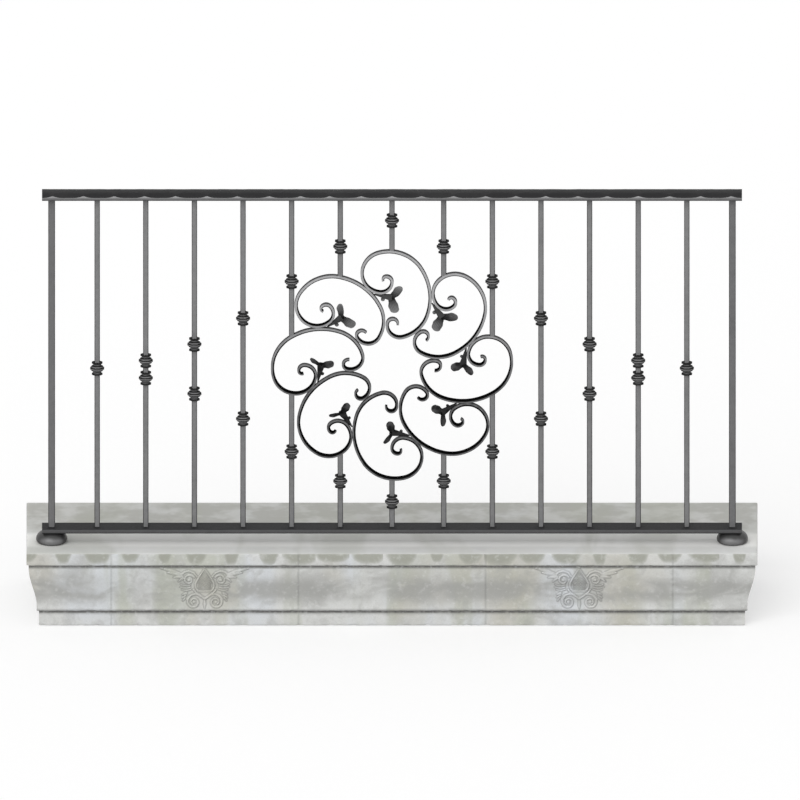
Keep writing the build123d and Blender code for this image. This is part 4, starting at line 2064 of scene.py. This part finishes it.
    def _carve(
        self, rings: list[list[Vector]], middle: float
    ) -> tuple[numpy.ndarray, numpy.ndarray]:
        """Work out the carving at every point of a block.

        Args:
            rings: The block's points before they are carved.
            middle: Place of the carving's middle along the ledge.

        Returns:
            Its height in metres and its share of grime and painted shade.
        """
        places = numpy.array([[(p.x - middle, p.z, p.y) for p in ring] for ring in rings]) / MM
        u, v = places[..., 0] / self.carving.spread, places[..., 1]
        heights = self.carving.heights(u, v)
        grime_and_shade = self.carving.soot_and_shade(u, v, heights)
        front = numpy.min(places[..., 2], axis=1, keepdims=True)
        behind = places[..., 2] > front + 1.0
        heights[behind] = 0.0
        grime_and_shade[behind] = 0.0
        return heights * MM, grime_and_shade

    def _wear(self, point: Vector, arris: float) -> float:
        """How far the surface has worn away at a point; less than 0 is inwards."""
        soft = dent(point, self.dent_size, self.dent_depth) - self.dent_depth
        chip = max(0.0, noise.noise(point / self.chip_size) - 0.05)
        return 0.5 * soft - arris * (0.4 * MM + chip * self.chip_depth)


# Studio

@dataclass
class Studio:
    """Camera, lamps, white surroundings and floor."""

    elevation: float = 18.0
    azimuth: float = 0.0
    roll: float = 0.0
    pixel: float = 2.9 * MM
    frame_pixels: int = 800
    railing_middle_pixel: float = 392.0
    ledge_front_pixel: float = 553.8
    camera_distance: float = 12.0
    sky_strength: float = 0.62
    key_strength: float = 1.6
    front_strength: float = 0.4
    floor_half: float = 30.0

    def build(self) -> None:
        """Set up everything that isn't part of the object."""
        self._camera()
        self._lamps()
        self._sky()
        self._floor()

    def _camera(self) -> None:
        """Look at the railing from the photograph's height, with parallel lines kept parallel."""
        low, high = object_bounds()
        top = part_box("coping_slab_3")[1].z
        turn = math.radians(self.azimuth)
        tilt = math.radians(self.elevation)
        back = Vector((
            math.sin(turn) * math.cos(tilt), -math.cos(turn) * math.cos(tilt), math.sin(tilt)
        ))
        half = self.frame_pixels / 2
        edge = Vector((0.0, low.y, top))
        rise = (self.ledge_front_pixel - half) * self.pixel / math.cos(tilt)
        target = edge + Vector(((half - self.railing_middle_pixel) * self.pixel, 0.0, rise))
        data = bpy.data.cameras.new("camera")
        data.type = "ORTHO"
        data.ortho_scale = self.frame_pixels * self.pixel
        data.clip_end = 100.0
        camera = bpy.data.objects.new("camera", data)
        camera.location = target + back * self.camera_distance
        look = (-back).to_track_quat("-Z", "Y").to_matrix().to_4x4()
        lean = Matrix.Rotation(math.radians(self.roll), 4, "Z")
        camera.rotation_euler = (look @ lean).to_euler()
        bpy.context.collection.objects.link(camera)
        bpy.context.scene.camera = camera

    def _lamps(self) -> None:
        """A soft key light from the front left and a faint broad one from the front."""
        self._sun("key", self.key_strength, 50.0, (0.36, -0.80, -0.52))
        self._sun("front", self.front_strength, 60.0, (-0.25, -1.0, -0.12))

    def _sun(self, name: str, strength: float, spread: float, towards: Point) -> None:
        """Add a sun.

        Args:
            name: Name of the lamp.
            strength: Its power on a surface that faces it.
            spread: Width of its disc in degrees.
            towards: Direction; y is reversed so that the light comes from the front.
        """
        data = bpy.data.lights.new(name, "SUN")
        data.energy = strength
        data.angle = math.radians(spread)
        lamp = bpy.data.objects.new(name, data)
        x, y, z = towards
        lamp.rotation_euler = Vector((x, -y, z)).to_track_quat("-Z", "Y").to_euler()
        bpy.context.collection.objects.link(lamp)

    def _sky(self) -> None:
        """Even light from all round, pure white where the camera or a reflection sees it."""
        world = bpy.data.worlds.new("surroundings")
        world.use_nodes = True
        bpy.context.scene.world = world
        board = NodeBoard(world.node_tree)
        board.tree.nodes.clear()
        seen = self._seen(board)
        strength = seen * (1.0 - self.sky_strength) + self.sky_strength
        sky = board.node(
            "ShaderNodeBackground", None, {"Color": rgba((1.0, 1.0, 1.0)), "Strength": strength}
        )
        board.node("ShaderNodeOutputWorld", None, {"Surface": sky.outputs[0]})

    @staticmethod
    def _seen(board: NodeBoard) -> Channel:
        """1 for rays from the camera and through glass, and less for reflections."""
        path = board.node("ShaderNodeLightPath")
        camera = Channel(board, path.outputs["Is Camera Ray"])
        glass = Channel(board, path.outputs["Is Transmission Ray"])
        gloss = Channel(board, path.outputs["Is Glossy Ray"])
        return camera.greater(glass).greater(gloss)

    def _floor(self) -> None:
        """A white floor that keeps the object's soft shadow."""
        mesh = bpy.data.meshes.new("floor")
        h = self.floor_half
        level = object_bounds()[0].z - 0.5 * MM
        corners = [(-h, -h, level), (h, -h, level), (h, h, level), (-h, h, level)]
        mesh.from_pydata(corners, [], [(0, 1, 2, 3)])
        floor = bpy.data.objects.new("floor", mesh)
        bpy.context.collection.objects.link(floor)
        material = bpy.data.materials.new("floor_white")
        material.use_nodes = True
        board = NodeBoard(material.node_tree)
        board.tree.nodes.clear()
        matt = board.node("ShaderNodeBsdfDiffuse", None, {"Color": rgba((0.6, 0.6, 0.6))})
        glow = board.node("ShaderNodeEmission", None, {"Strength": self._seen(board) * 0.46})
        both = board.node("ShaderNodeAddShader", None, {0: matt.outputs[0], 1: glow.outputs[0]})
        board.node("ShaderNodeOutputMaterial", None, {"Surface": both.outputs[0]})
        mesh.materials.append(material)
        floor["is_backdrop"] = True


def main() -> None:
    """Build the looks, sub-assembly by sub-assembly."""
    logging.basicConfig(level=logging.INFO)
    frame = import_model()
    bpy.context.scene.view_settings.view_transform = "Standard"
    for start, iron in (("baluster", BAR_IRON), ("end_post", POST_IRON)):
        UprightBars(iron.material()).build(n for n in frame["nodes"] if n.startswith(start))
    Handrail(HANDRAIL_IRON.material()).build()
    FlatRail(RAIL_IRON.material()).build()
    Feet(FOOT_IRON.material()).build(["foot_left", "foot_right"])
    Collars(COLLAR_IRON.material()).build(["upper_collars", "lower_collars"])
    place = WreathPlace(ScrollPath())
    Scrolls(SCROLL_IRON.material(), place).build()
    Leaves(LEAF_IRON.material(), place).build()
    StoneLedge(LEDGE_STONE.material()).build()
    Studio().build()


if __name__ == "__main__":
    main()
